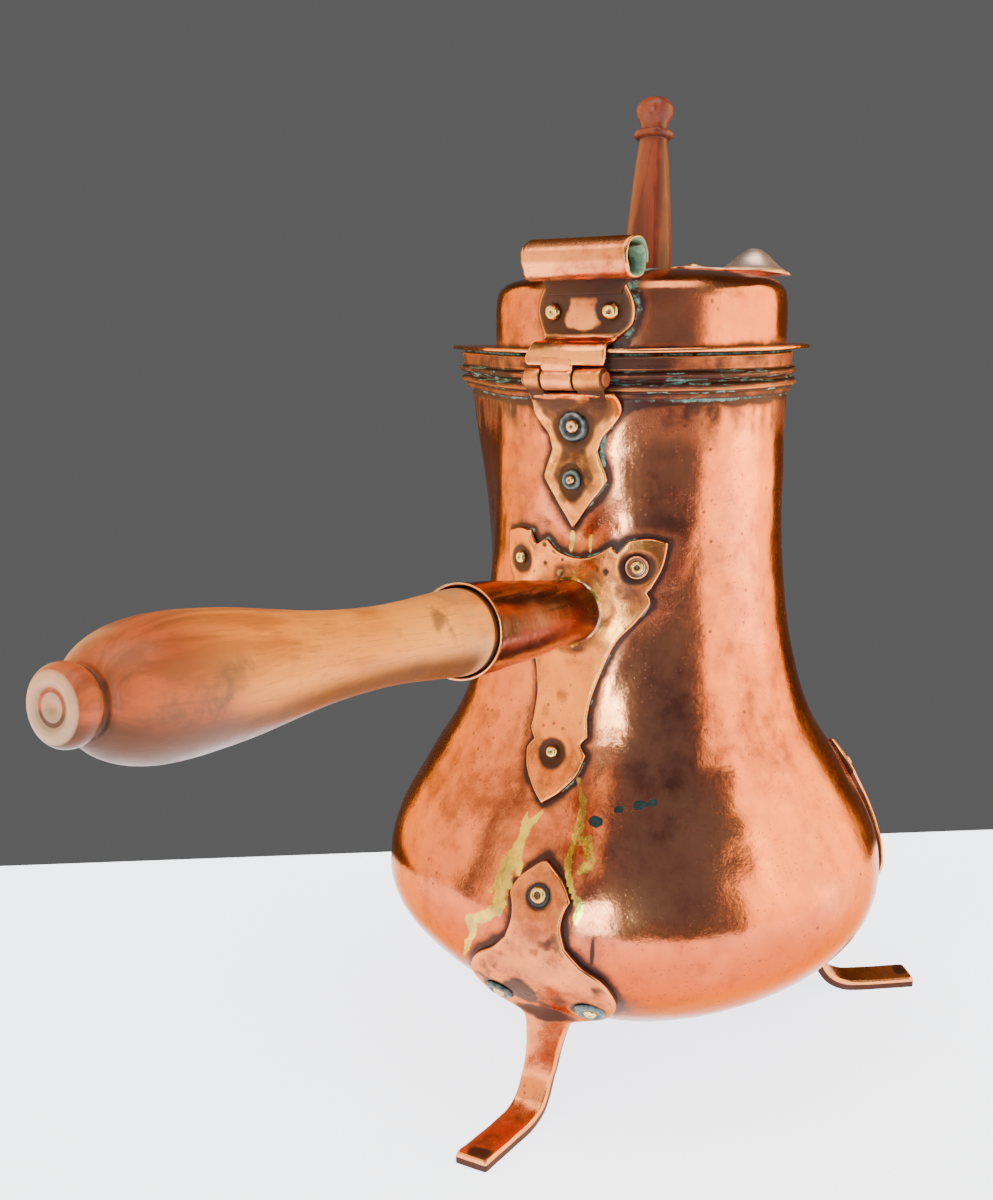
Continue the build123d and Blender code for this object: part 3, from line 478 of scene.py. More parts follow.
# ---------------------------------------------------------------- node materials
class Mat:
    def __init__(self, name):
        self.m = bpy.data.materials.new(name)
        self.m.use_nodes = True
        self.t = self.m.node_tree
        self.t.nodes.clear()
        self.out = self.node("ShaderNodeOutputMaterial")
        self.b = self.node("ShaderNodeBsdfPrincipled")
        self.t.links.new(self.b.outputs[0], self.out.inputs[0])
        self.co = self.node("ShaderNodeTexCoord").outputs["Object"]
        self._x = 0

    def node(self, kind, **kw):
        n = self.t.nodes.new(kind)
        for k, v in kw.items():
            setattr(n, k, v)
        return n

    def put(self, sock, val):
        if isinstance(val, bpy.types.NodeSocket):
            self.t.links.new(val, sock)
        elif isinstance(val, (tuple, list)) and len(val) == 3 and sock.type == "RGBA":
            sock.default_value = (*val, 1.0)
        else:
            sock.default_value = val

    def mapping(self, scale=(1, 1, 1), rot=(0, 0, 0), loc=(0, 0, 0), vec=None):
        n = self.node("ShaderNodeMapping")
        self.t.links.new(vec or self.co, n.inputs["Vector"])
        n.inputs["Scale"].default_value = scale
        n.inputs["Rotation"].default_value = rot
        n.inputs["Location"].default_value = loc
        return n.outputs[0]

    def noise(self, scale, detail=4.0, rough=0.55, vec=None, dist=0.0):
        n = self.node("ShaderNodeTexNoise")
        self.t.links.new(vec or self.co, n.inputs["Vector"])
        n.inputs["Scale"].default_value = scale
        n.inputs["Detail"].default_value = detail
        n.inputs["Roughness"].default_value = rough
        n.inputs["Distortion"].default_value = dist
        return n.outputs["Fac"]

    def voronoi(self, scale, feature="F1", vec=None, rnd=1.0, smooth_=None):
        n = self.node("ShaderNodeTexVoronoi", feature=feature)
        self.t.links.new(vec or self.co, n.inputs["Vector"])
        n.inputs["Scale"].default_value = scale
        n.inputs["Randomness"].default_value = rnd
        if smooth_ is not None:
            n.inputs["Smoothness"].default_value = smooth_
        return n.outputs["Distance"]

    def attr(self, name):
        n = self.node("ShaderNodeAttribute", attribute_name=name, attribute_type="GEOMETRY")
        return n.outputs["Fac"]

    def math(self, op, a, b=None, c=None, clamp=False):
        n = self.node("ShaderNodeMath", operation=op, use_clamp=clamp)
        self.put(n.inputs[0], a)
        if b is not None:
            self.put(n.inputs[1], b)
        if c is not None:
            self.put(n.inputs[2], c)
        return n.outputs[0]

    def rng(self, val, a, b, lo=0.0, hi=1.0, smoothed=True):
        n = self.node("ShaderNodeMapRange", clamp=True, interpolation_type="SMOOTHSTEP" if smoothed else "LINEAR")
        self.put(n.inputs["Value"], val)
        for k, v in (("From Min", a), ("From Max", b), ("To Min", lo), ("To Max", hi)):
            self.put(n.inputs[k], v)
        return n.outputs[0]

    def mix(self, fac, a, b, blend="MIX"):
        n = self.node("ShaderNodeMix", data_type="RGBA", blend_type=blend, clamp_factor=True)
        self.put(n.inputs[0], fac)
        self.put(n.inputs[6], a)
        self.put(n.inputs[7], b)
        return n.outputs[2]

    def sep(self):
        n = self.node("ShaderNodeSeparateXYZ")
        self.t.links.new(self.co, n.inputs[0])
        return n.outputs

    def bump(self, height, dist, strength=1.0, normal=None):
        n = self.node("ShaderNodeBump")
        n.inputs["Strength"].default_value = strength
        n.inputs["Distance"].default_value = dist
        self.put(n.inputs["Height"], height)
        if normal is not None:
            self.t.links.new(normal, n.inputs["Normal"])
        return n.outputs[0]


CU_A = (0.840, 0.195, 0.058)      # clean salmon copper
CU_B = (0.500, 0.105, 0.045)      # redder, browner
CU_C = (0.900, 0.280, 0.085)      # pale, freshly rubbed
# the patina colour below also serves for painted shade
PAT = (0.007, 0.007, 0.009)       # near-black patina
VERD = (0.060, 0.105, 0.098)
VERD2 = (0.200, 0.300, 0.245)
BRASS = (0.700, 0.480, 0.040)


def copper(name, rough=0.24, tone=0.5, mottle=0.5, spots=0.5, pits=0.3, streaks=0.5, hammer=0.0, a=CU_A, b=CU_B,
           c=CU_C, edge=0.7, dark_all=0.0, bump_k=1.0, green=1.0, tint=(0.016, 0.032, 0.033), wave=1.0, low_orange=False):
    m = Mat(name)
    big = m.noise(17.0, 4, 0.55)
    big2 = m.noise(38.0, 5, 0.6, vec=m.mapping(loc=(3.1, 1.7, 0.4)))
    mid = m.noise(130.0, 6, 0.62)
    fine = m.noise(620.0, 4, 0.6)
    st = m.noise(1.0, 3, 0.6, vec=m.mapping(scale=(1500, 1500, 55)))
    st2 = m.noise(1.0, 3, 0.6, vec=m.mapping(scale=(60, 60, 1800)))
    t1 = m.math("ADD", m.math("MULTIPLY", big, 0.65), m.math("MULTIPLY", big2, 0.35))
    t1 = m.math("ADD", m.math("MULTIPLY", m.math("SUBTRACT", mid, 0.5), mottle), t1)
    fac = m.rng(t1, 0.5 - 0.22 + (0.5 - tone) * 0.2, 0.5 + 0.22 + (0.5 - tone) * 0.2)
    col = m.mix(fac, a, b)
    col = m.mix(m.rng(big2, 0.56, 0.78, 0, 0.55), col, c)
    if low_orange:
        zz = m.math("ADD", m.sep()[2], m.math("MULTIPLY", m.math("SUBTRACT", big2, 0.5), 0.030))
        col = m.mix(m.rng(zz, 0.094, 0.064, 0.0, 0.85), col, (0.42, 0.052, 0.004))
    # broad brown stains, then fine mottling
    col = m.mix(m.math("MULTIPLY", m.rng(big, 0.50, 0.66), m.rng(mid, 0.38, 0.60, 0.25, 0.75)), col, (0.30, 0.062, 0.024))
    mo = m.math("MULTIPLY", m.rng(mid, 0.52, 0.70), m.rng(big, 0.40, 0.62))
    col = m.mix(m.math("MULTIPLY", mo, 0.95 * mottle), col, (0.22, 0.050, 0.022))
    # tarnish spots
    v = m.voronoi(210.0)
    vv = m.voronoi(640.0)
    sp = m.math("MULTIPLY", m.rng(v, 0.20, 0.07), m.rng(m.noise(60.0, 3), 0.44, 0.60))
    sp2 = m.math("MULTIPLY", m.rng(vv, 0.26, 0.08), m.rng(m.noise(90.0, 3, vec=m.mapping(loc=(0.3, 2.2, 1.0))), 0.43, 0.58))
    spot = m.math("MULTIPLY", m.math("ADD", sp, m.math("MULTIPLY", sp2, 0.8), clamp=True), spots)
    col = m.mix(m.math("MULTIPLY", spot, 0.85), col, (0.10, 0.032, 0.024))
    # dark patina and painted shade (shadow along the fittings and under the lid flange, shaded undersides and
    # recesses), from the piece's own mask broken up by noise
    dk = m.math("ADD", m.attr("m_dark"), dark_all)
    dk = m.math("ADD", dk, m.math("MULTIPLY", m.math("SUBTRACT", mid, 0.5), m.math("MULTIPLY", dk, 1.5)))
    dk = m.math("ADD", dk, m.math("MULTIPLY", m.math("SUBTRACT", big2, 0.5), m.math("MULTIPLY", dk, 1.0)))
    dk = m.rng(dk, 0.10, 0.64)
    patina_and_shade_col = m.mix(m.rng(mid, 0.4, 0.65), PAT, (0.022, 0.015, 0.015))
    col = m.mix(m.math("MULTIPLY", dk, 0.93), col, patina_and_shade_col)
    # braze metal
    br = m.math("ADD", m.attr("m_brass"), m.math("MULTIPLY", m.math("SUBTRACT", m.noise(240, 5, 0.65), 0.5), 2.0))
    br = m.math("MULTIPLY", m.rng(br, 0.44, 0.70), m.rng(m.attr("m_brass"), 0.02, 0.25))
    col = m.mix(m.math("MULTIPLY", br, 0.9), col, m.mix(m.rng(mid, 0.35, 0.65), BRASS, (0.40, 0.25, 0.060)))
    # worn, rubbed edges; on the lid dome the same mask is a painted highlight along the shoulder
    ed = m.math("MULTIPLY", m.attr("m_edge"), m.rng(mid, 0.32, 0.60, 0.35, 1.0))
    ed = m.math("MULTIPLY", ed, m.rng(m.attr("m_dark"), 0.45, 0.85, 1.0, 0.25))
    col = m.mix(m.math("MULTIPLY", ed, edge), col, (0.94, 0.33, 0.075))
    # verdigris
    vg = m.math("ADD", m.attr("m_verd"), m.math("MULTIPLY", m.math("SUBTRACT", m.noise(330, 6, 0.7), 0.5), 1.3))
    vg = m.math("ADD", vg, m.math("MULTIPLY", m.math("SUBTRACT", big2, 0.5), 0.8))
    vg = m.math("MULTIPLY", m.rng(vg, 0.42, 0.62), m.rng(m.attr("m_verd"), 0.03, 0.2))
    vg = m.math("MULTIPLY", vg, green)
    vcol = m.mix(m.rng(fine, 0.38, 0.62), VERD, VERD2)
    col = m.mix(vg, col, vcol)
    tn = m.math("ADD", m.attr("m_tint"), m.math("MULTIPLY", m.math("SUBTRACT", m.noise(300, 5, 0.6, vec=m.mapping(loc=(4, 1, 2))), 0.5), 0.7))
    tn = m.math("MULTIPLY", m.rng(tn, 0.30, 0.60), m.rng(m.attr("m_tint"), 0.03, 0.2))
    tc = m.mix(m.rng(fine, 0.35, 0.65), tint, tuple(0.62 * q for q in tint))
    col = m.mix(m.rng(tn, 0.0, 0.5), col, tc)
    m.put(m.b.inputs["Base Color"], col)
    inv = m.math("SUBTRACT", 1.0, m.math("MULTIPLY", m.math("MAXIMUM", m.rng(vg, 0.35, 0.9), m.rng(tn, 0.5, 1.0)), 0.92))
    met = m.math("MULTIPLY", inv, m.math("SUBTRACT", 1.0, m.math("MULTIPLY", m.math("MULTIPLY", dk, 0.55), m.math("SUBTRACT", 1.0, ed))))
    m.put(m.b.inputs["Metallic"], met)
    m.b.inputs["Specular IOR Level"].default_value = 0.12
    m.b.inputs["Specular Tint"].default_value = (0.90, 0.58, 0.42, 1.0)
    ro = m.math("ADD", rough, m.math("MULTIPLY", m.math("SUBTRACT", big2, 0.5), 0.16))
    ro = m.math("ADD", ro, m.math("MULTIPLY", m.math("SUBTRACT", mid, 0.5), 0.18))
    ro = m.math("ADD", ro, m.math("MULTIPLY", m.math("SUBTRACT", fine, 0.5), 0.10))
    ro = m.math("ADD", ro, m.math("MULTIPLY", m.math("SUBTRACT", st, 0.5), 0.22 * streaks))
    ro = m.math("ADD", ro, m.math("MULTIPLY", spot, 0.22))
    ro = m.math("ADD", ro, m.math("MULTIPLY", dk, 0.20))
    ro = m.math("ADD", ro, m.math("MULTIPLY", tn, 0.55))
    ro = m.math("ADD", ro, m.math("MULTIPLY", vg, 0.50), clamp=True)
    ro = m.math("MAXIMUM", ro, 0.07)
    m.put(m.b.inputs["Roughness"], ro)
    # relief
    h = m.math("MULTIPLY", m.math("SUBTRACT", mid, 0.5), 0.9)
    h = m.math("ADD", h, m.math("MULTIPLY", m.math("SUBTRACT", big2, 0.5), 1.8 * wave))
    h = m.math("ADD", h, m.math("MULTIPLY", m.math("SUBTRACT", big, 0.5), 3.0 * wave))
    h = m.math("ADD", h, m.math("MULTIPLY", fine, 0.16))
    h = m.math("ADD", h, m.math("MULTIPLY", st, 0.12 * streaks))
    h = m.math("ADD", h, m.math("MULTIPLY", st2, 0.04 * streaks))
    h = m.math("SUBTRACT", h, m.math("MULTIPLY", spot, 0.35 * pits))
    h = m.math("ADD", h, m.math("MULTIPLY", vg, 0.6))
    if hammer:
        hv = m.voronoi(125.0, "SMOOTH_F1", smooth_=0.35)
        hv2 = m.voronoi(300.0, "SMOOTH_F1", smooth_=0.3, vec=m.mapping(loc=(0.7, 0.2, 0.1)))
        h = m.math("ADD", h, m.math("MULTIPLY", hv, 1.6 * hammer))
        h = m.math("ADD", h, m.math("MULTIPLY", hv2, 0.8 * hammer))
    m.put(m.b.inputs["Normal"], m.bump(h, 0.00013 * bump_k, 1.0))
    return m.m


def brass(name, rough=0.28, a=(0.84, 0.55, 0.15), b=(0.60, 0.30, 0.08)):
    m = Mat(name)
    big = m.noise(90.0, 4, 0.6)
    mid = m.noise(420.0, 6, 0.65)
    fine = m.noise(1500.0, 3, 0.6)
    col = m.mix(m.rng(big, 0.35, 0.65), a, b)
    dk = m.math("ADD", m.attr("m_dark"), m.math("MULTIPLY", m.math("SUBTRACT", mid, 0.5), 1.0))
    dk = m.math("MULTIPLY", m.rng(dk, 0.35, 0.8), m.rng(m.attr("m_dark"), 0.02, 0.2))
    col = m.mix(m.math("MULTIPLY", dk, 0.9), col, (0.07, 0.045, 0.03))
    sp = m.rng(m.voronoi(900.0), 0.28, 0.10)
    col = m.mix(m.math("MULTIPLY", sp, 0.3), col, (0.25, 0.13, 0.05))
    m.put(m.b.inputs["Base Color"], col)
    m.put(m.b.inputs["Metallic"], m.math("SUBTRACT", 1.0, m.math("MULTIPLY", dk, 0.5)))
    ro = m.math("ADD", rough, m.math("MULTIPLY", m.math("SUBTRACT", mid, 0.5), 0.3))
    ro = m.math("ADD", ro, m.math("MULTIPLY", dk, 0.3), clamp=True)
    m.put(m.b.inputs["Roughness"], ro)
    h = m.math("ADD", m.math("MULTIPLY", mid, 0.8), m.math("MULTIPLY", fine, 0.25))
    m.put(m.b.inputs["Normal"], m.bump(h, 0.00012))
    return m.m


def dark_washer(name, cool=0.5):
    """Blue-black patinated, crimped washer metal with pale bloom."""
    m = Mat(name)
    big = m.noise(150.0, 4, 0.6)
    mid = m.noise(520.0, 6, 0.7)
    fine = m.noise(1800.0, 3, 0.6)
    col = m.mix(m.rng(mid, 0.40, 0.62), (0.007, 0.008, 0.009), (0.034, 0.038, 0.040))
    col = m.mix(m.math("MULTIPLY", m.rng(big, 0.45, 0.62), cool), col, (0.036, 0.043, 0.043))
    col = m.mix(m.math("MULTIPLY", m.rng(m.noise(300.0, 5, 0.6, vec=m.mapping(loc=(1, 2, 3))), 0.60, 0.72), 0.5), col, (0.50, 0.22, 0.12))
    ed = m.attr("m_edge")
    col = m.mix(m.math("MULTIPLY", ed, 0.5), col, (0.30, 0.31, 0.30))
    bl = m.math("MULTIPLY", m.attr("m_verd"), m.rng(mid, 0.34, 0.52, 0.25, 1.0))
    col = m.mix(bl, col, (0.115, 0.140, 0.130))
    dk = m.attr("m_dark")
    col = m.mix(m.math("MULTIPLY", dk, 0.8), col, (0.03, 0.028, 0.03))
    m.put(m.b.inputs["Base Color"], col)
    m.b.inputs["Specular IOR Level"].default_value = 0.2
    m.put(m.b.inputs["Metallic"], m.rng(mid, 0.35, 0.65, 0.8, 0.35))
    m.put(m.b.inputs["Roughness"], m.rng(fine, 0.3, 0.7, 0.28, 0.55))
    h = m.math("ADD", m.math("MULTIPLY", mid, 1.0), m.math("MULTIPLY", fine, 0.3))
    m.put(m.b.inputs["Normal"], m.bump(h, 0.00022))
    return m.m


def wood_grip(name):
    m = Mat(name)
    v = m.mapping(scale=(1, 1, 1), rot=(HANDLE_E, 0, 0), loc=(0, 0, 0))
    long_ = m.node("ShaderNodeMapping")
    m.t.links.new(v, long_.inputs[0])
    long_.inputs["Scale"].default_value = (150, 9, 150)
    fibre = m.node("ShaderNodeMapping")
    m.t.links.new(v, fibre.inputs[0])
    fibre.inputs["Scale"].default_value = (1700, 55, 1700)
    ring = m.noise(1.0, 5, 0.6, vec=long_.outputs[0], dist=1.2)
    fib = m.noise(1.0, 4, 0.6, vec=fibre.outputs[0])
    cloud = m.noise(26.0, 5, 0.62)
    cloud2 = m.noise(75.0, 5, 0.62, vec=m.mapping(loc=(2, 5, 1)))
    sep = m.sep()
    y = sep[1]
    col = m.mix(m.rng(ring, 0.36, 0.66), (0.72, 0.200, 0.018), (0.44, 0.105, 0.012))
    col = m.mix(m.rng(cloud, 0.42, 0.62, 0.0, 0.8), col, (0.80, 0.260, 0.034))
    # redder and darker towards the free end
    red = m.math("ADD", m.rng(y, -0.205, -0.262), m.math("MULTIPLY", m.math("SUBTRACT", cloud, 0.5), 0.9))
    red = m.math("MULTIPLY", m.rng(red, 0.12, 0.95), m.rng(y, -0.19, -0.235))
    col = m.mix(m.math("MULTIPLY", red, 0.88), col, m.mix(m.rng(ring, 0.4, 0.62), (0.36, 0.050, 0.018), (0.17, 0.025, 0.012)))
    # dull grey-brown soil next to the socket and blotches
    soil = m.math("MULTIPLY", m.rng(cloud2, 0.53, 0.68), m.rng(cloud, 0.46, 0.60))
    col = m.mix(m.math("MULTIPLY", soil, 0.75), col, (0.105, 0.050, 0.026))
    nearsock = m.math("MULTIPLY", m.rng(y, -0.148, -0.131), m.rng(cloud2, 0.36, 0.58))
    col = m.mix(m.math("MULTIPLY", nearsock, 0.65), col, (0.25, 0.17, 0.11))
    col = m.mix(m.rng(fib, 0.52, 0.72, 0.0, 0.42), col, (0.17, 0.065, 0.022))
    # painted shade: the grip's underside is darkened, from the underside mask that build_grip stores in the verdigris
    # attribute
    und = m.math("ADD", m.attr("m_verd"), m.math("MULTIPLY", m.math("SUBTRACT", cloud, 0.5), 0.6))
    und = m.math("MULTIPLY", m.rng(und, 0.1, 0.9), m.rng(m.attr("m_verd"), 0.02, 0.2))
    col = m.mix(m.math("MULTIPLY", und, 0.92), col, (0.060, 0.018, 0.005))
    dk = m.math("ADD", m.attr("m_dark"), m.math("MULTIPLY", m.math("SUBTRACT", cloud2, 0.5), 0.8))
    dk = m.math("MULTIPLY", m.rng(dk, 0.3, 0.9), m.rng(m.attr("m_dark"), 0.02, 0.2))
    col = m.mix(m.math("MULTIPLY", dk, 0.9), col, (0.045, 0.022, 0.015))
    col = m.mix(m.math("MULTIPLY", m.attr("m_edge"), 0.75), col, (0.66, 0.36, 0.20))
    m.put(m.b.inputs["Base Color"], col)
    ro = m.math("ADD", m.rng(cloud2, 0.3, 0.7, 0.27, 0.42), m.math("MULTIPLY", fib, 0.08))
    m.put(m.b.inputs["Roughness"], ro)
    m.b.inputs["Coat Weight"].default_value = 0.04
    m.b.inputs["Coat Roughness"].default_value = 0.24
    m.b.inputs["Specular IOR Level"].default_value = 0.12
    h = m.math("ADD", m.math("MULTIPLY", fib, -0.25), m.math("MULTIPLY", cloud2, 0.8))
    m.put(m.b.inputs["Normal"], m.bump(h, 0.00016))
    return m.m


def wood_stirrer(name):
    m = Mat(name)
    v = m.mapping(rot=(math.atan2(0.12187, 0.99242) * 1.0, 0.0158, 0))
    long_ = m.node("ShaderNodeMapping")
    m.t.links.new(v, long_.inputs[0])
    long_.inputs["Scale"].default_value = (260, 260, 7)
    fibre = m.node("ShaderNodeMapping")
    m.t.links.new(v, fibre.inputs[0])
    fibre.inputs["Scale"].default_value = (2300, 2300, 60)
    ring = m.noise(1.0, 3, 0.55, vec=long_.outputs[0], dist=0.6)
    fib = m.noise(1.0, 4, 0.6, vec=fibre.outputs[0])
    cloud = m.noise(55.0, 4, 0.6)
    col = m.mix(m.rng(ring, 0.40, 0.56), (0.21, 0.034, 0.011), (0.100, 0.016, 0.008))
    col = m.mix(m.rng(ring, 0.60, 0.68, 0.0, 0.8), col, (0.085, 0.020, 0.014))
    col = m.mix(m.rng(cloud, 0.45, 0.65, 0.0, 0.5), col, (0.24, 0.044, 0.014))
    col = m.mix(m.rng(fib, 0.52, 0.70, 0.0, 0.5), col, (0.10, 0.024, 0.015))
    col = m.mix(m.math("MULTIPLY", m.attr("m_dark"), 0.85), col, (0.05, 0.018, 0.013))
    m.put(m.b.inputs["Base Color"], col)
    m.put(m.b.inputs["Roughness"], m.rng(fib, 0.3, 0.7, 0.30, 0.46))
    m.b.inputs["Coat Weight"].default_value = 0.05
    m.b.inputs["Coat Roughness"].default_value = 0.25
    m.b.inputs["Specular IOR Level"].default_value = 0.16
    h = m.math("ADD", m.math("MULTIPLY", fib, -0.5), m.math("MULTIPLY", cloud, 0.4))
    m.put(m.b.inputs["Normal"], m.bump(h, 0.00014))
    return m.m


M_BODY = copper("copper_body", rough=0.16, tone=0.5, mottle=0.60, spots=0.90, streaks=0.45, wave=1.0, low_orange=True)
M_LID = copper("copper_lid", rough=0.16, tone=0.5, mottle=0.5, spots=0.7, streaks=0.3)
M_BAND = copper("copper_band", rough=0.26, tone=0.45, mottle=0.7, spots=0.7, streaks=0.1, dark_all=0.08, bump_k=1.4)
M_PLATE = copper("copper_plate", rough=0.24, tone=0.5, mottle=0.7, spots=0.8, streaks=0.15, hammer=0.25, edge=0.8,
                 a=(0.94, 0.26, 0.040), b=(0.70, 0.145, 0.028))
M_LEAF = copper("copper_leaf", rough=0.28, tone=0.45, mottle=0.9, spots=0.7, streaks=0.0, hammer=0.8, edge=0.9,
                a=(0.86, 0.25, 0.036), b=(0.56, 0.120, 0.024), bump_k=1.5)
M_FOOT = copper("copper_foot", rough=0.25, tone=0.5, mottle=0.8, spots=0.7, streaks=0.2, hammer=0.35, edge=0.75,
                a=(0.76, 0.195, 0.050), b=(0.46, 0.120, 0.048), tint=(0.006, 0.018, 0.020))
M_SOCK = copper("copper_socket", rough=0.19, tone=0.4, mottle=0.5, spots=0.5, streaks=0.1, edge=0.8,
                a=(0.24, 0.165, 0.165), b=(0.17, 0.115, 0.115))
M_COVER = copper("copper_cover", rough=0.36, tone=0.6, mottle=0.4, spots=0.4, streaks=0.1,
                 a=(0.97, 0.72, 0.58), b=(0.92, 0.52, 0.36))
M_BRASS = brass("brass_rivet")
M_BRASS2 = brass("brass_rivet_bright", rough=0.22, a=(0.90, 0.62, 0.14), b=(0.70, 0.32, 0.07))
M_COPPER_RV = brass("copper_rivet", rough=0.3, a=(0.78, 0.40, 0.15), b=(0.48, 0.20, 0.08))
M_WASH = dark_washer("washer_patina", 0.55)
M_WASH2 = dark_washer("washer_bloom", 0.95)
M_GRIP = wood_grip("wood_grip")
M_STIR = wood_stirrer("wood_stirrer")


# ---------------------------------------------------------------- vessel
def fitting_distance(P):
    """Distance on the skin from the nearest riveted fitting (mm), for patina, the painted shadow along the fittings'
    edges, and dents.
    """
    out = np.full(P.shape[:-1], 60.0)
    sets = [(leaf_loop, 0, 195, 262), (plate_loop, 0, 103, 218)]
    sets += [(foot_loop + np.array([0.0, f[1]]), f[0], 28, 125) for f in FEET.values()]
    for loop, ang, zlo, zhi in sets:
        Q = rot_z(P, -ang)
        sel = (Q[..., 1] < 0) & (np.abs(Q[..., 0]) < 46) & (Q[..., 2] > zlo) & (Q[..., 2] < zhi)
        if not sel.any():
            continue
        # measured in the flat (x, z) of the outline
        q = Q[sel]
        uv = np.stack([q[:, 0], q[:, 2]], 1)
        d = edge_dist(uv, loop)
        d = np.where(inside(uv, loop), -d, d)
        out[sel] = np.minimum(out[sel], d)
    return out


def stroke(P, pts, width):
    """Soft mask around a polyline in (x, z) of the front skin."""
    a = np.array(pts, float)
    uv = np.stack([P[..., 0], P[..., 2]], -1).reshape(-1, 2)
    best = np.zeros(len(uv))
    w = np.interp(np.linspace(0, 1, len(a)), np.linspace(0, 1, len(width)), width)
    for i in range(len(a) - 1):
        ab = a[i + 1] - a[i]
        t = np.clip(((uv - a[i]) @ ab) / (ab @ ab), 0, 1)
        d = np.linalg.norm(uv - (a[i] + t[:, None] * ab), axis=1)
        ww = w[i] + (w[i + 1] - w[i]) * t
        best = np.maximum(best, np.clip(1.15 - 0.65 * d / ww, 0, 1))
    best = best.reshape(P.shape[:-1])
    return np.where(P[..., 1] < 0, best, 0)


# braze that ran down the front, (x, z)
BRAZE = [
    ([(-5.9, 111.9), (-5.3, 104.3), (-7.4, 96.2), (-9.1, 88.7), (-8.0, 83.1), (-14.0, 78.4), (-19.5, 75.5), (-18.4, 71.4), (-23.6, 60.0)],
     (0.6, 1.7, 3.2, 3.6, 2.2, 1.8, 2.3, 1.5, 0.8)),
    ([(0.0, 113.6), (-4.0, 109.0), (-5.3, 104.3), (-3.3, 95.0)], (0.7, 1.2, 1.6, 1.2)),
    ([(9.8, 124.6), (13.2, 117.5), (14.2, 111.5), (13.6, 108.1)], (0.6, 1.0, 1.3, 1.5)),
    ([(13.6, 108.1), (17.6, 107.9), (20.4, 101.4), (16.9, 98.4)], (1.4, 1.5, 1.7, 1.0)),
    ([(13.6, 108.1), (12.8, 101.9), (15.8, 93.5), (20.0, 88.5), (19.2, 84.1)], (1.4, 1.2, 1.3, 1.7, 0.8)),
    ([(-0.7, 204.9), (-0.9, 199.7)], (1.1, 0.7)),
    ([(5.9, 205.0), (6.0, 199.6)], (0.5, 0.5)),
]
SPOTS = [((18.4, 113.3), 2.3), ((25.2, 117.1), 1.6), ((31.3, 118.7), 2.1), ((34.7, 119.3), 1.5)]
CRACK = ([(25.7, 80.9), (25.5, 74.5), (26.4, 67.2), (28.4, 61.1)], (0.35, 0.45, 0.45, 0.3))


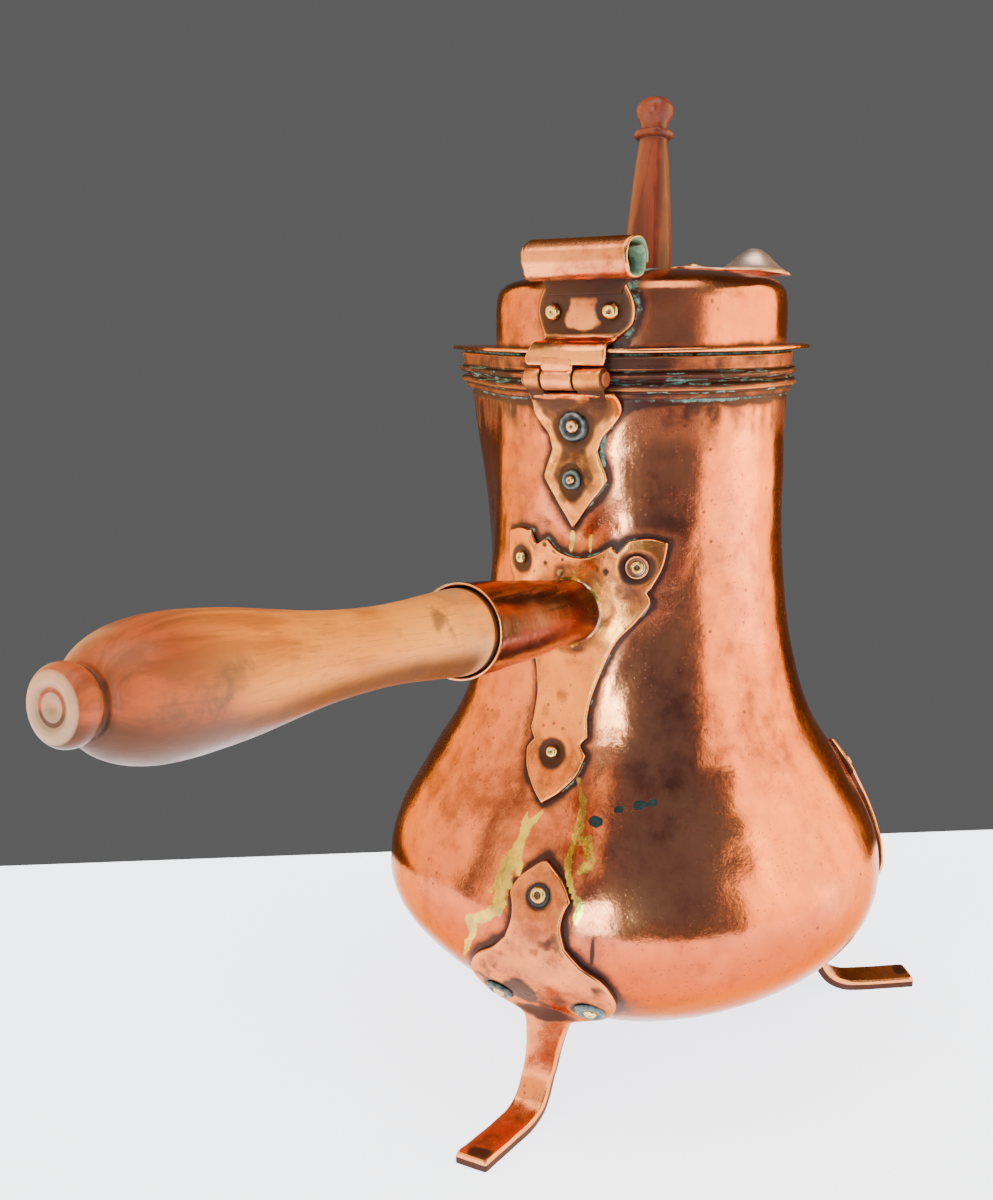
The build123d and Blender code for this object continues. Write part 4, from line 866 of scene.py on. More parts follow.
def build_vessel():
    prof = cr_path(PROFILE, 24, first=(-18.0, 13.9))
    prof = resample(prof, 0.95)
    prof = prof[1:]
    dd = np.gradient(prof, axis=0)
    dd /= np.linalg.norm(dd, axis=1)[:, None]
    nn = np.stack([dd[:, 1], -dd[:, 0]], 1)
    th = np.unique(np.round(np.concatenate([np.linspace(0, 2 * np.pi, 600, endpoint=False),
                                            math.pi + np.linspace(-0.13, 0.13, 41)]), 6))
    phi = (th - math.pi)

    def surface(d):
        r = prof[:, 0:1] + nn[:, 0:1] * d
        z = prof[:, 1:2] + nn[:, 1:2] * d
        base = prof[:, 0:1] * np.ones_like(th)
        zz = z * np.ones_like(th)
        rho = ridge_rho(prof[:, 1:2]) * np.ones_like(th)
        rho = np.where(prof[:, 1:2] < 142.0, 0.0, rho)
        rb = beaked(phi[None, :] * np.ones_like(base), base, rho, 0.0)
        rb = rb * (r / prof[:, 0:1]) if d == 0 else rb + nn[:, 0:1] * d
        # d is applied along the flank as a parallel offset where the wedge is
        return np.stack([rb * np.cos(th), rb * np.sin(th), zz], -1)

    P = surface(0.0)
    fd = fitting_distance(P)
    free = smooth(fd, 1.0, 9.0) * smooth(P[..., 2], 262.0, 246.0)
    dent = 0.34 * (vnoise(P, 34.0, 5) - 0.9) + 0.13 * (vnoise(P, 13.0, 9) - 0.9) + 0.03 * (vnoise(P, 6.0, 3) - 0.9)
    N = np.stack([nn[:, 0:1] * np.cos(th), nn[:, 0:1] * np.sin(th), nn[:, 1:2] * np.ones_like(th)], -1)
    P = P + N * (dent * (0.25 + 0.75 * free))[..., None]
    out = P
    inn = surface(-WALL)
    inn[-1, :, 2] = RIM_Z
    out[-1, :, 2] = RIM_Z - 0.15
    lip = (out[-1] * 0.5 + inn[-1] * 0.5)[None]
    lip[..., 2] = RIM_Z
    step = 2
    inn2 = inn[::-1][::step]
    if not np.allclose(inn2[-1], inn[0]):
        inn2 = np.concatenate([inn2, inn[:1]])
    cen_o = np.array([0, 0, 13.2])
    G = np.concatenate([out, lip, inn2])
    # masks
    fdG = np.concatenate([fd, np.full((1, len(th)), 60.0), np.full(inn2.shape[:2], 60.0)])
    z = G[..., 2]
    is_out = np.zeros(G.shape[:2])
    is_out[:len(out)] = 1
    patch = 0.5 + 0.5 * fbm(G, 9.0, 21)
    # painted shadow: the sharp dark line hugging each fitting's edge stands for the shadow the fitting casts on the
    # belly; the patchy part further out is patina
    near = np.exp(-np.clip(fdG, 0, 99) / 1.5) + 0.50 * np.exp(-np.clip(fdG, 0, 99) / 5.0) * patch
    near = np.where(fdG < 0, 0.8, near)
    band = np.exp(-np.clip(249.8 - z, 0, 99) / 2.2) + 0.35 * np.exp(-np.clip(249.8 - z, 0, 99) / 7.0) * patch
    side = np.clip(near + band, 0, 1.0)
    dark = side * is_out
    # soot and stain under the belly, between the feet, and a few dark marks
    low = smooth(z, 52.0, 22.0) * (0.25 + 0.35 * patch)
    dark = np.maximum(dark, low * is_out)
    foot_zone = np.exp(-np.clip(fdG, 0, 99) / 11.0) * smooth(z, 84.0, 52.0) * (0.25 + 0.55 * patch)
    dark = np.maximum(dark, foot_zone * is_out)
    tint = np.zeros(G.shape[:2])
    for (sx, sz), sr in SPOTS:
        d = np.hypot(G[..., 0] - sx, (G[..., 2] - sz) * 1.5)
        tint = np.maximum(tint, np.where(G[..., 1] < 0, np.clip(1.05 - 0.62 * d / sr, 0, 0.75), 0))
    dark = np.maximum(dark, 0.9 * stroke(G, *CRACK) * is_out)
    # the neck under the band has long dark runs
    runs = 0.5 + 0.5 * vnoise(np.stack([G[..., 0], G[..., 1], G[..., 2] / 9.0], -1), 3.4, 23)
    dark = np.maximum(dark, 0.62 * smooth(z, 226.0, 247.0) * (0.25 + 0.9 * runs) * is_out)
    dark = np.maximum(dark, (1 - is_out) * (0.35 + 0.3 * patch))
    brz = np.zeros(G.shape[:2])
    for pts, w in BRAZE:
        brz = np.maximum(brz, stroke(G, pts, w))
    brz = brz * is_out * (fdG > 0.2)
    dark = dark * (1 - 0.75 * smooth(brz, 0.4, 0.8))
    verd = 0.75 * np.exp(-np.clip(fdG, 0, 99) / 0.8) * (patch > 0.5) * (z > 115) + 0.55 * np.exp(-np.clip(249.6 - z, 0, 99) / 0.9)
    # green runs beside the lower hinge leaf
    verd = np.maximum(verd, stroke(G, [(12.4, 241.5), (10.6, 240.9), (9.6, 237.0), (9.4, 232.1), (10.1, 228.5)], (0.9, 1.1, 1.0, 1.0, 0.6)))
    verd = verd * is_out
    p = Part()
    p.grid(G, flip=False, m_dark=np.clip(dark, 0, 1), m_verd=np.clip(verd, 0, 1), m_brass=brz, m_edge=0.0, m_tint=tint * is_out)
    nrow, ncol = G.shape[:2]
    base = p.add([cen_o, cen_o + [0, 0, WALL]], [], m_dark=0.5)
    for j in range(ncol):
        jn = (j + 1) % ncol
        p.f.append((base, jn, j))
        p.f.append((base + 1, (nrow - 1) * ncol + j, (nrow - 1) * ncol + jn))
    o = p.obj("vessel_body", M_BODY, "pot", "copper_body", ["vessel"], sw=True)
    return o


vessel = build_vessel()


# ---------------------------------------------------------------- rim band
def build_band():
    prof = [(0.06, 263.8, 0), (0.8, 263.8, 0), (1.08, 263.6, 0), (1.12, 262.8, 0), (1.10, 261.0, 0), (1.10, 259.6, .2), (1.0, 259.0, .9),
            (1.15, 258.85, 1), (1.9, 258.72, 1), (2.45, 258.4, .9), (2.78, 257.9, .55), (2.8, 257.5, .3), (2.55, 257.2, .6), (2.7, 256.9, .5), (2.45, 256.65, .8),
            (1.9, 256.4, 1), (1.1, 256.2, 1), (0.8, 255.6, 1), (1.1, 255.1, 1), (1.9, 254.9, 1), (2.45, 254.65, .9), (2.75, 254.2, .5),
            (2.8, 253.8, .2), (2.5, 253.5, .5), (2.72, 253.2, .1), (2.4, 252.85, .2), (1.9, 252.65, .5), (1.2, 252.45, .9), (1.0, 252.1, .8),
            (1.1, 251.6, .35), (1.12, 250.8, .3), (0.95, 250.2, .5), (0.6, 250.0, .7), (0.06, 250.0, .7)]
    pr = np.array(prof)
    fine = resample(pr, 0.22)
    th = np.unique(np.round(np.concatenate([np.linspace(0, 2 * np.pi, 400, endpoint=False),
                                            math.pi + np.linspace(-0.13, 0.13, 41)]), 6))
    phi = th - math.pi
    d = fine[:, 0:1]
    z = fine[:, 1:2] * np.ones_like(th)
    rho = ridge_rho(z)
    circ = np.stack([60 * np.cos(th)[None] * np.ones_like(z), 60 * np.sin(th)[None] * np.ones_like(z), z * 6], -1)
    dd = d + 0.16 * vnoise(circ, 7.0, 31) * smooth(d, 1.3, 2.5) + 0.05 * vnoise(circ, 2.5, 37)
    dz = 0.10 * vnoise(np.stack([circ[..., 0], circ[..., 1], 0 * z], -1), 16.0, 33) * smooth(d, 1.2, 2.2)
    r = beaked(phi[None] * np.ones_like(z), 53.1 + 0 * z, rho, np.minimum(dd, d + 0.04))
    G = np.stack([r * np.cos(th), r * np.sin(th), z + dz], -1)
    v = fine[:, 2:3] * np.ones_like(th)
    patch = 0.5 + 0.5 * fbm(circ, 14.0, 41)
    lines = 0.5 + 0.5 * vnoise(np.stack([circ[..., 0], circ[..., 1], circ[..., 2] * 2.2], -1), 7.0, 43)
    lines2 = 0.5 + 0.5 * vnoise(np.stack([circ[..., 0], circ[..., 1], circ[..., 2] * 2.2], -1), 3.2, 45)
    v = v * smooth(0.6 * lines + 0.4 * lines2, 0.42, 0.68) * (0.45 + 0.45 * patch)
    az = np.degrees(np.arctan2(np.cos(th), -np.sin(th)))[None] * 0 + np.degrees(np.arctan2(circ[..., 0], -circ[..., 1]))
    dark = np.clip(0.30 + 0.62 * fine[:, 2:3] * np.ones_like(th) - 0.2 * patch, 0, 1)
    # painted shadow: the plain strip under the lid flange's overhang is darkened, most at the front
    strip = smooth(z, 259.2, 260.2) * (z < 263.7)
    dark = np.maximum(dark, strip * (0.35 + 0.45 * smooth(az, 42, 20) * smooth(az, -30, -10)))
    p = Part()
    G = np.concatenate([G, G[:1]])
    v = np.concatenate([v, v[:1]])
    dark = np.concatenate([dark, dark[:1]])
    edge = np.where((G[..., 2] > 263.3) | ((np.abs(G[..., 2] - 253.2) < 0.4)), 0.5, 0.0)
    p.grid(G, flip=True, m_verd=np.clip(v, 0, 1), m_dark=dark, m_edge=edge)
    return p.obj("rim_band_beaded", M_BAND, "pot", "copper_body", ["rim_band"])


build_band()


# ---------------------------------------------------------------- rivets and washers
def rivet_mesh(part, p, n, base, hr, hh, wall=WALL, shank=1.9, tail=True, pit=0.5, seed=1, sides=28, tube=False, uneven=0.035):
    if tube:
        prof = [(0.0, base + hh * 0.15), (0.35 * hr, base + hh * 0.15), (0.42 * hr, base + hh * 0.5), (0.50 * hr, base + hh * 0.96),
                (0.64 * hr, base + hh * 1.0), (0.80 * hr, base + hh * 0.95), (0.90 * hr, base + hh * 0.7), (1.0 * hr, base + hh * 0.55), (1.02 * hr, base)]
    else:
        prof = [(0.0, base + hh * (1 - pit)), (0.14 * hr, base + hh * (1 - pit * 0.95)), (0.26 * hr, base + hh * (1 - pit * 0.55)), (0.36 * hr, base + hh * 0.98),
                (0.48 * hr, base + hh * 1.0), (0.62 * hr, base + hh * 0.95), (0.78 * hr, base + hh * 0.80), (0.91 * hr, base + hh * 0.52),
                (0.98 * hr, base + hh * 0.25), (1.0 * hr, base)]
    dk = [0.9, 0.8, 0.5, 0.05] + [0.0] * (len(prof) - 6) + [0.25, 0.9]
    prof += [(shank, base - 0.02)]
    dk += [1.0]
    if tail:
        w = -wall - 0.15
        prof += [(shank, w), (shank + 0.95, w), (shank + 1.0, w - 0.5), (shank + 0.4, w - 0.95), (0.0, w - 1.0)]
        dk += [1, .6, .5, .4, .5]
    else:
        prof += [(shank, base - 1.0), (0.0, base - 1.0)]
        dk += [1, 1]
    prof = np.array(prof)

    def wob(r, s, th):
        q = np.stack([3 * np.cos(th) + seed * 7.1, 3 * np.sin(th), s], -1)
        return r * (1 + uneven * vnoise(q, 2.2, seed)), s + 0.05 * vnoise(q, 1.7, seed + 4) * (s > base + 0.1)
    turned(part, prof, p, n, sides, wob=wob, m_dark=np.array(dk))


def washer_mesh(part, p, n, base, r, t, hole, seed=1, crimp=0.10, sides=56, bloom=0.0, inner=0.45):
    prof = [(hole, base + 0.02), (hole, base + t * 0.55), (hole + 0.25, base + t * 0.72), (r * 0.60, base + t * 0.70), (r * 0.70, base + t * 0.95), (r * 0.78, base + t),
            (r * 0.86, base + t * 0.86), (r * 0.93, base + t * 0.45), (r * 0.985, base + t * 0.18), (r, base + 0.02)]
    prof = np.array(prof)
    edge = np.array([0, 0, 0, 0, .4, .9, .5, 0, 0, 0.2])
    dark = np.array([1, .9, inner + .1, inner, .15, 0, 0, .2, .6, 1.0])
    blm = bloom * np.array([0, 0, .3, .5, .9, 1, 1, .9, .6, .2])

    def wob(rr, s, th):
        q = np.stack([3 * np.cos(th) + seed * 5.3, 3 * np.sin(th), 0 * s], -1)
        k = smooth(rr, hole + 0.3, r * 0.8)
        lob = np.sin(th * 9 + seed) * crimp * k
        return rr * (1 + 0.03 * k * vnoise(q, 2.0, seed)), s + (lob + 0.10 * vnoise(q, 1.6, seed + 9)) * k * (s > base + 0.1)
    turned(part, prof, p, n, sides, wob=wob, closed_prof=True, m_edge=edge, m_dark=dark, m_verd=blm)


rv = Part()
ws = Part()
for i, (x, z) in enumerate(LOW_RV):
    p, n = skin_frame(x, z)
    b = GAP + LEAF_T + 0.06
    washer_mesh(ws, p, n, b - 0.35, 5.3 if i == 0 else 3.5, 1.35 if i == 0 else 1.0, 1.95 if i == 0 else 1.5, seed=3 + i,
                crimp=0.20 if i == 0 else 0.05, bloom=0.0 if i == 0 else 0.75)
    rivet_mesh(rv, p, n, b + (0.45 if i == 0 else 0.25), 2.3 if i == 0 else 1.55, 1.35, seed=11 + i, pit=0.30, shank=1.9 if i == 0 else 1.45)
rv.obj("hinge_lower_rivet_heads", M_COPPER_RV, "pot", "rivet_brass", ["hinge_lower_rivets"])
ws.obj("hinge_lower_washer_rings", M_WASH, "pot", "dark_washers", ["hinge_lower_washers"])

rv = Part()
ws = Part()
for i, (x, z) in enumerate(HP_RV):
    p, n = skin_frame(x, z)
    b = GAP + PLATE_T + 0.06
    if i == 1:
        # ring washer round a tube-like rivet
        prof = np.array([(1.95, b - .3), (1.95, b + 0.35), (2.5, b + 0.50), (3.0, b + 0.48), (3.35, b + 0.9), (3.62, b + 0.98), (3.82, b + .8), (3.9, b + 0.3), (3.9, b - .3)])
        turned(ws, prof, p, n, 40, closed_prof=True, m_edge=np.array([0, 0, .0, 0, .6, 1, .5, 0, 0]), m_dark=np.array([1, .6, .3, .6, .1, 0, 0, .5, 1]))
        rivet_mesh(rv, p, n, b + 0.45, 2.2, 1.4, seed=21, tube=True)
    else:
        rivet_mesh(rv, p, n, b - 0.25, 2.15, 1.7, seed=22 + i, pit=0.3)
rv.obj("handle_plate_rivet_heads", M_BRASS, "pot", "rivet_brass", ["handle_rivets"])
ws.obj("handle_plate_washer_ring", copper("copper_washer", rough=0.25, mottle=0.5, spots=0.2, streaks=0.0, edge=0.9,
                                           a=(0.74, 0.36, 0.24), b=(0.50, 0.20, 0.14)), "pot", "dark_washers", ["handle_washer"])


# ---------------------------------------------------------------- lower hinge leaf
def wells(centres, radius, depth, bank=0.0):
    def f(u, v):
        out = 0.0
        for cx, cy in centres:
            d = np.hypot(u - cx, v - cy)
            out = out + depth * smooth(d, radius, radius * 0.45) - bank * np.exp(-((d - radius * 1.15) / (0.22 * radius)) ** 2)
        return out
    return f


LOW_PATH = [(53.15, 230.0), (53.15, 234.0), (53.15, 238.0), (53.15, 242.0), (53.45, 244.4), (54.5, 247.0), (56.1, 249.4), (57.9, 251.4), (59.45, 252.85)]


def build_lower_leaf():
    """One sheet: flat on the vessel, then standing off in front of the beads and up to the knuckles."""
    p = Part()
    path = resample(cr_path(LOW_PATH, 12), 0.25)
    seg = np.linalg.norm(np.diff(path, axis=0), axis=1)
    PS = 230.0 + np.concatenate([[0], np.cumsum(seg)])
    dd = np.gradient(path, axis=0)
    dd /= np.linalg.norm(dd, axis=1)[:, None]
    pn = np.stack([dd[:, 1], -dd[:, 0]], 1)

    def place(u, v, d):
        low = skin(u, np.minimum(v, 244.0), GAP + d)
        r, z = np.interp(v, PS, path[:, 0]), np.interp(v, PS, path[:, 1])
        nr, nz = np.interp(v, PS, pn[:, 0]), np.interp(v, PS, pn[:, 1])
        a = np.arcsin(np.clip(u / 53.15, -0.9, 0.9))
        # straightens as it nears the hinge, whose pin is straight
        k = smooth(v, 243.0, 254.0)
        rr = r + nr * d
        x = rr * np.sin(a) * (1 - k) + u * k
        y = rr * np.cos(a) * (1 - k) + (rr - 0.35 * (1 - np.cos(a)) * rr) * k
        high = np.stack([x, -y, z + nz * d], -1)
        w = smooth(v, 234.0, 240.0)[..., None]
        return low * (1 - w) + high * w

    def relief(u, v, dist):
        q = np.stack([u, v, 0 * u], -1)
        return 0.16 * vnoise(q, 4.5, 61) + 0.10 * vnoise(q, 2.1, 62) - 0.12

    def well2(u, v):
        d1 = np.hypot(u - LOW_RV[0][0], v - LOW_RV[0][1])
        d2 = np.hypot((u - LOW_RV[1][0]) / 0.82, (v - LOW_RV[1][1] + 0.6) / 1.1)
        out = 0.45 * smooth(d1, 6.6, 3.4) - 0.15 * np.exp(-((d1 - 7.2) / 1.1) ** 2)
        return out + 0.60 * smooth(d2, 6.2, 4.4) - 0.20 * np.exp(-((d2 - 6.9) / 0.9) ** 2)

    def at(u, v, dist):
        q = np.stack([u, v, 0 * u], -1)
        n1 = vnoise(q, 3.5, 72)
        dk = 0.92 * smooth(np.hypot(u - LOW_RV[0][0], v - LOW_RV[0][1]) + 0.8 * n1, 9.0, 6.2)
        d2 = np.hypot((u - LOW_RV[1][0]) / 0.82, (v - LOW_RV[1][1] + 0.6) / 1.1)
        dk = np.maximum(dk, 0.97 * smooth(d2 + 0.4 * n1, 6.6, 5.0))
        dk = np.maximum(dk, 0.85 * smooth(v, 245.5, 250.0) * (0.75 + 0.4 * vnoise(q, 5, 71)) * smooth(dist, 0.8, 3.0))
        dk = np.maximum(dk, 0.62 * smooth(dist, 2.6, 4.4) * smooth(v, 212, 218))
        dk = np.maximum(dk, 0.45 * (n1 > 0.45))
        dk = np.maximum(dk, 0.6 * smooth(u, 8.0, 11.5) * smooth(v, 240, 244) * smooth(dist, 1.0, 2.6))
        dk = dk * smooth(dist + 0.35 * n1, 0.4, 2.2)
        gold = 0.62 * smooth(u, 0.0, -2.5) * smooth(v, 209.0, 214.0) * smooth(v, 243.0, 236.0) * smooth(dist, 3.0, 0.6)
        vg = 0.45 * smooth(v, 252.0, 254.5)
        return {"m_dark": np.clip(dk, 0, 1), "m_verd": vg, "m_edge": np.exp(-dist / 1.8) * smooth(v, 253.0, 249.5), "m_brass": gold}
    cut_sheet(p, leaf_loop, place, LEAF_T, 0.8, 0.8, 0.45, relief, at, 5, 0.22, dip=well2, side=0.9)
    # two curled knuckles that grow out of the leaf
    for k in (0, 2):
        x0, x1 = KNUCKLES[k]
        knuckle(p, x0, x1, 7 + k)
        sec = cr_path([(-57.6, 250.2), (-58.9, 251.6), (-60.1, 252.9), (-61.0, 253.9)], 6)
        dn = np.gradient(sec, axis=0)
        dn /= np.linalg.norm(dn, axis=1)[:, None]
        nrm = np.stack([-dn[:, 1], dn[:, 0]], 1)
        xs = np.array([x0 + 0.2, x0 + 0.4, x0 + 0.8, (x0 + x1) / 2, x1 - 0.8, x1 - 0.4, x1 - 0.2])
        off = np.array([0.25, 0.45, 0.55, 0.55, 0.55, 0.45, 0.25])
        ring = []
        for (y, z), (ny, nz) in zip(sec, nrm):
            row = [(x, y + ny * o, z + nz * o) for x, o in zip(xs, off)]
            row += [(x, y - ny * o, z - nz * o) for x, o in zip(xs[::-1], off[::-1])]
            ring.append(row)
        p.grid(np.array(ring), closed=True, caps=(True, True), flip=False, m_dark=0.8, m_verd=0.1, m_edge=0.0)
    return p.obj("hinge_lower_leaf_forged", M_LEAF, "pot", "copper_fittings", ["hinge_lower_leaf"])


def knuckle(p, x0, x1, seed, dark=0.25, r_out=KNUCKLE_R):
    """Rolled knuckle round the hinge pin: tube with worn ends."""
    n = 44
    th = np.linspace(0, 2 * np.pi, n, endpoint=False)
    ri = 1.56
    rows = []
    xs = [(x0, ri), (x0, ri + 0.5), (x0, r_out - 0.75), (x0 + 0.12, r_out - 0.35), (x0 + 0.4, r_out - 0.08)]
    m = max(4, int((x1 - x0) / 0.8))
    for t in np.linspace(0, 1, m)[0:]:
        xs.append((x0 + 0.8 + (x1 - x0 - 1.6) * t, r_out))
    xs += [(x1 - 0.4, r_out - 0.08), (x1 - 0.12, r_out - 0.35), (x1, r_out - 0.75), (x1, ri + 0.5), (x1, ri)]
    xs.append((x0, ri))
    dk = []
    for i, (x, r) in enumerate(xs):
        rr = np.full(n, r)
        if r > ri + 0.6:
            q = np.stack([x + 0 * th, 3.5 * np.cos(th), 3.5 * np.sin(th)], -1)
            rr = rr - 0.10 - 0.12 * vnoise(q, 2.6, seed)
        rows.append(np.stack([x + 0 * th, -HINGE_R + rr * np.cos(th), HINGE_Z + rr * np.sin(th)], -1))
        # the end faces, in the narrow gaps between knuckles, are darker; the underside is darkened as painted shade
        e = 0.7 if (x < x0 + 0.3 or x > x1 - 0.3) else 0.0
        dk.append(np.clip(e + dark + 0.35 * smooth(np.sin(th), -0.2, -0.9), 0, 1))
    G = np.array(rows)
    p.grid(G, flip=False, m_dark=np.array(dk), m_edge=0.15)


build_lower_leaf()


# ---------------------------------------------------------------- handle plate
def build_handle_plate():
    p = Part()

    def relief(u, v, dist):
        q = np.stack([u, v, 0 * u], -1)
        return 0.14 * vnoise(q, 9.0, 81) + 0.05 * vnoise(q, 3.0, 82) - 0.10

    def at(u, v, dist):
        q = np.stack([u, v, 0 * u], -1)
        n1 = vnoise(q, 4.0, 91)
        dk = np.zeros_like(u)
        for (cx, cy), rr in zip(HP_RV, (5.2, 6.5, 5.4)):
            d = np.hypot(u - cx, v - cy + 0.4)
            dk = np.maximum(dk, 0.95 * smooth(d, rr + 1.5, rr * 0.55))
        # round the socket's foot
        d = np.hypot(u / 13.4, (v - 180.2) / 13.6)
        dk = np.maximum(dk, 0.55 * smooth(d, 1.30, 1.05) * (0.7 + 0.4 * n1))
        for cx, cy, r in ((-10.5, 200.8, 1.2), (-6.5, 199.0, 1.0), (-10.0, 194.5, 1.1), (-3.2, 196.5, 0.7), (6.0, 189.0, 0.8), (12.0, 193.5, 1.4)):
            dk = np.maximum(dk, 0.8 * smooth(np.hypot(u - cx, v - cy), r * 1.3, r * 0.5))
        dk = np.maximum(dk, 0.35 * smooth(vnoise(q, 6.0, 94), 0.35, 0.7))
        br = smooth(np.hypot(u / 13.4, (v - 180.2) / 13.6), 1.02, 0.98) * 0.35
        return {"m_dark": np.clip(dk, 0, 1) * smooth(dist, 0.1, 0.9), "m_brass": br,
                "m_verd": 0.3 * (np.abs(u) > 14) * smooth(dist, 0.7, 0.1), "m_edge": np.exp(-dist / 0.8)}
    cut_sheet(p, plate_loop, lambda u, v, d: skin(u, v, GAP + d), PLATE_T, 0.75, 1.1, 0.4, relief, at, 15, 0.10,
              dip=wells(HP_RV, 5.4, 0.55, 0.16), side=0.85)
    return p.obj("handle_plate_cut", M_PLATE, "pot", "copper_fittings", ["handle_plate"])


build_handle_plate()


# ---------------------------------------------------------------- handle socket
HDIR = np.array([0.0, -math.cos(HANDLE_E), math.sin(HANDLE_E)])
HORG = np.array([0.0, 0.0, HANDLE_Z0])
HX = np.array([1.0, 0, 0])
HY = np.cross(HDIR, HX)      # local second axis


def sock_r(s):
    return SOCKET_R0 + (SOCKET_R1 - SOCKET_R0) / (SOCKET_S1 - 57.0) * (s - 57.0)


def on_handle(r, s, th):
    return HORG + s[..., None] * HDIR + r[..., None] * (np.cos(th)[..., None] * HX + np.sin(th)[..., None] * HY)


def base_s(th, extra=0.0, rad=None):
    """Where the socket's wall at angle th meets the plate."""
    lo = np.full_like(th, 40.0)
    hi = np.full_like(th, 90.0)
    for _ in range(40):
        mid = (lo + hi) / 2
        rr = sock_r(mid) + extra if rad is None else rad + 0 * mid
        P = on_handle(rr, mid, th)
        outside = np.hypot(P[..., 0], P[..., 1]) > r_at(P[..., 2]) + GAP + PLATE_T * 0.9
        hi = np.where(outside, mid, hi)
        lo = np.where(outside, lo, mid)
    return (lo + hi) / 2


def build_socket():
    p = Part()
    n = 120
    th = np.linspace(0, 2 * np.pi, n, endpoint=False)
    s0 = base_s(th)
    rows, dk, ed = [], [], []
    K = 60
    seam = (th - math.radians(205)) % (2 * np.pi)          # lap seam, towards the underside
    for i in range(K + 1):
        f = (i / K)
        s = s0 + (SOCKET_S1 - s0) * f
        r = sock_r(s)
        q = np.stack([14 * np.cos(th), 14 * np.sin(th), s], -1)
        r = r - 0.12 - 0.16 * vnoise(q, 16.0, 101) - 0.05 * vnoise(q, 6.0, 102)
        lap = 0.55 * np.exp(-seam / 0.35) * smooth(f, 0.0, 0.15)
        r = r - 0.45 + np.minimum(0.45, lap + 0.33)
        flat = 0.30 * np.exp(-((f - 1.0) / 0.12) ** 2) * np.cos(2 * (th - 0.6))
        r = r + np.minimum(flat, 0.0)
        rows.append(on_handle(r, s, th))
        dk.append(np.clip(0.55 * np.exp(-(s - s0) / 2.0) + 0.9 * np.exp(-(np.minimum(seam, 2 * np.pi - seam) / 0.035) ** 2) * 0.6, 0, 1))
        ed.append(np.full(n, 0.95 * math.exp(-(1 - f) * 73 / 0.7)))
    # rounded, slightly turned-out lip
    for dr, ds, e in ((-0.02, 0.22, 1.0), (-0.25, 0.40, 1.0), (-0.5, 0.44, 1.0), (-0.75, 0.36, 1.0), (-0.98, 0.15, 1.0), (-1.02, -0.3, .6)):
        r = sock_r(SOCKET_S1 - 0.45 + ds) + dr - 0.12
        q = np.stack([14 * np.cos(th), 14 * np.sin(th), SOCKET_S1 + 0 * th], -1)
        r = r - 0.16 * vnoise(q, 16.0, 101) + np.minimum(0.30 * np.cos(2 * (th - 0.6)), 0)
        rows.append(on_handle(r, SOCKET_S1 - 0.45 + ds + 0 * th, th))
        dk.append(np.zeros(n))
        ed.append(np.full(n, e))
    for s in (127.0, 120.0, 105.0, 85.0, 72.0):
        r = np.full(n, sock_r(s) - SOCKET_T)
        rows.append(on_handle(r, s + 0 * th, th))
        dk.append(np.full(n, 0.95))
        ed.append(np.zeros(n))
    rows.append(on_handle(np.full(n, sock_r(60) - SOCKET_T), s0, th))
    dk.append(np.full(n, 1.0))
    ed.append(np.zeros(n))
    G = np.array(rows)
    G = np.concatenate([G, G[:1]])
    dk.append(dk[0])
    ed.append(ed[0])
    p.grid(G, flip=False, m_dark=np.array(dk), m_edge=np.array(ed))
    # braze fillet round the foot of the socket: a thin, slightly uneven bead
    nb = 300
    tb = np.linspace(0, 2 * np.pi, nb, endpoint=False)
    rows, br, dk = [], [], []
    q = np.stack([14 * np.cos(tb), 14 * np.sin(tb), 0 * tb], -1)
    lump = np.clip(0.5 + 0.40 * vnoise(q, 6.0, 111) + 0.15 * vnoise(q, 2.6, 112), 0.1, 1.0)
    wid = 0.55 + 0.55 * lump
    s_in = base_s(tb)
    r_in = sock_r(s_in)
    s_out = base_s(tb, rad=r_in + 1.8)
    for t in np.linspace(0, 1, 11):
        # from the socket's wall round to the plate
        fr, fs = 1 - math.cos(t * math.pi / 2), 1 - math.sin(t * math.pi / 2)
        off = 0.22 * math.sin(t * math.pi)
        rr = r_in - 0.25 + (fr * wid + off * wid) + 0.05
        base = s_in + (s_out - s_in) * np.clip((rr - r_in) / 1.8, 0, 1)
        ss = base + fs * wid * 1.15 + off * wid - 0.10
        rows.append(on_handle(rr, ss, tb))
        br.append(np.clip(0.30 + 0.5 * lump, 0, 1))
        dk.append(np.full(nb, 0.45 if t in (0.0, 1.0) else 0.1))
    for fr, fs in ((1.0, -0.9), (-0.3, -0.9)):
        rr = r_in + fr * wid
        rows.append(on_handle(rr, s_in + (s_out - s_in) * np.clip((rr - r_in) / 1.8, 0, 1) + fs, tb))
        br.append(np.full(nb, 0.3))
        dk.append(np.full(nb, 0.8))
    G = np.array(rows)
    G = np.concatenate([G, G[:1]])
    br.append(br[0])
    dk.append(dk[0])
    p.grid(G, flip=False, m_brass=np.array(br), m_dark=np.array(dk), m_edge=0.1)
    return p.obj("handle_socket_rolled", M_SOCK, "pot", "copper_fittings", ["handle_socket"])


build_socket()


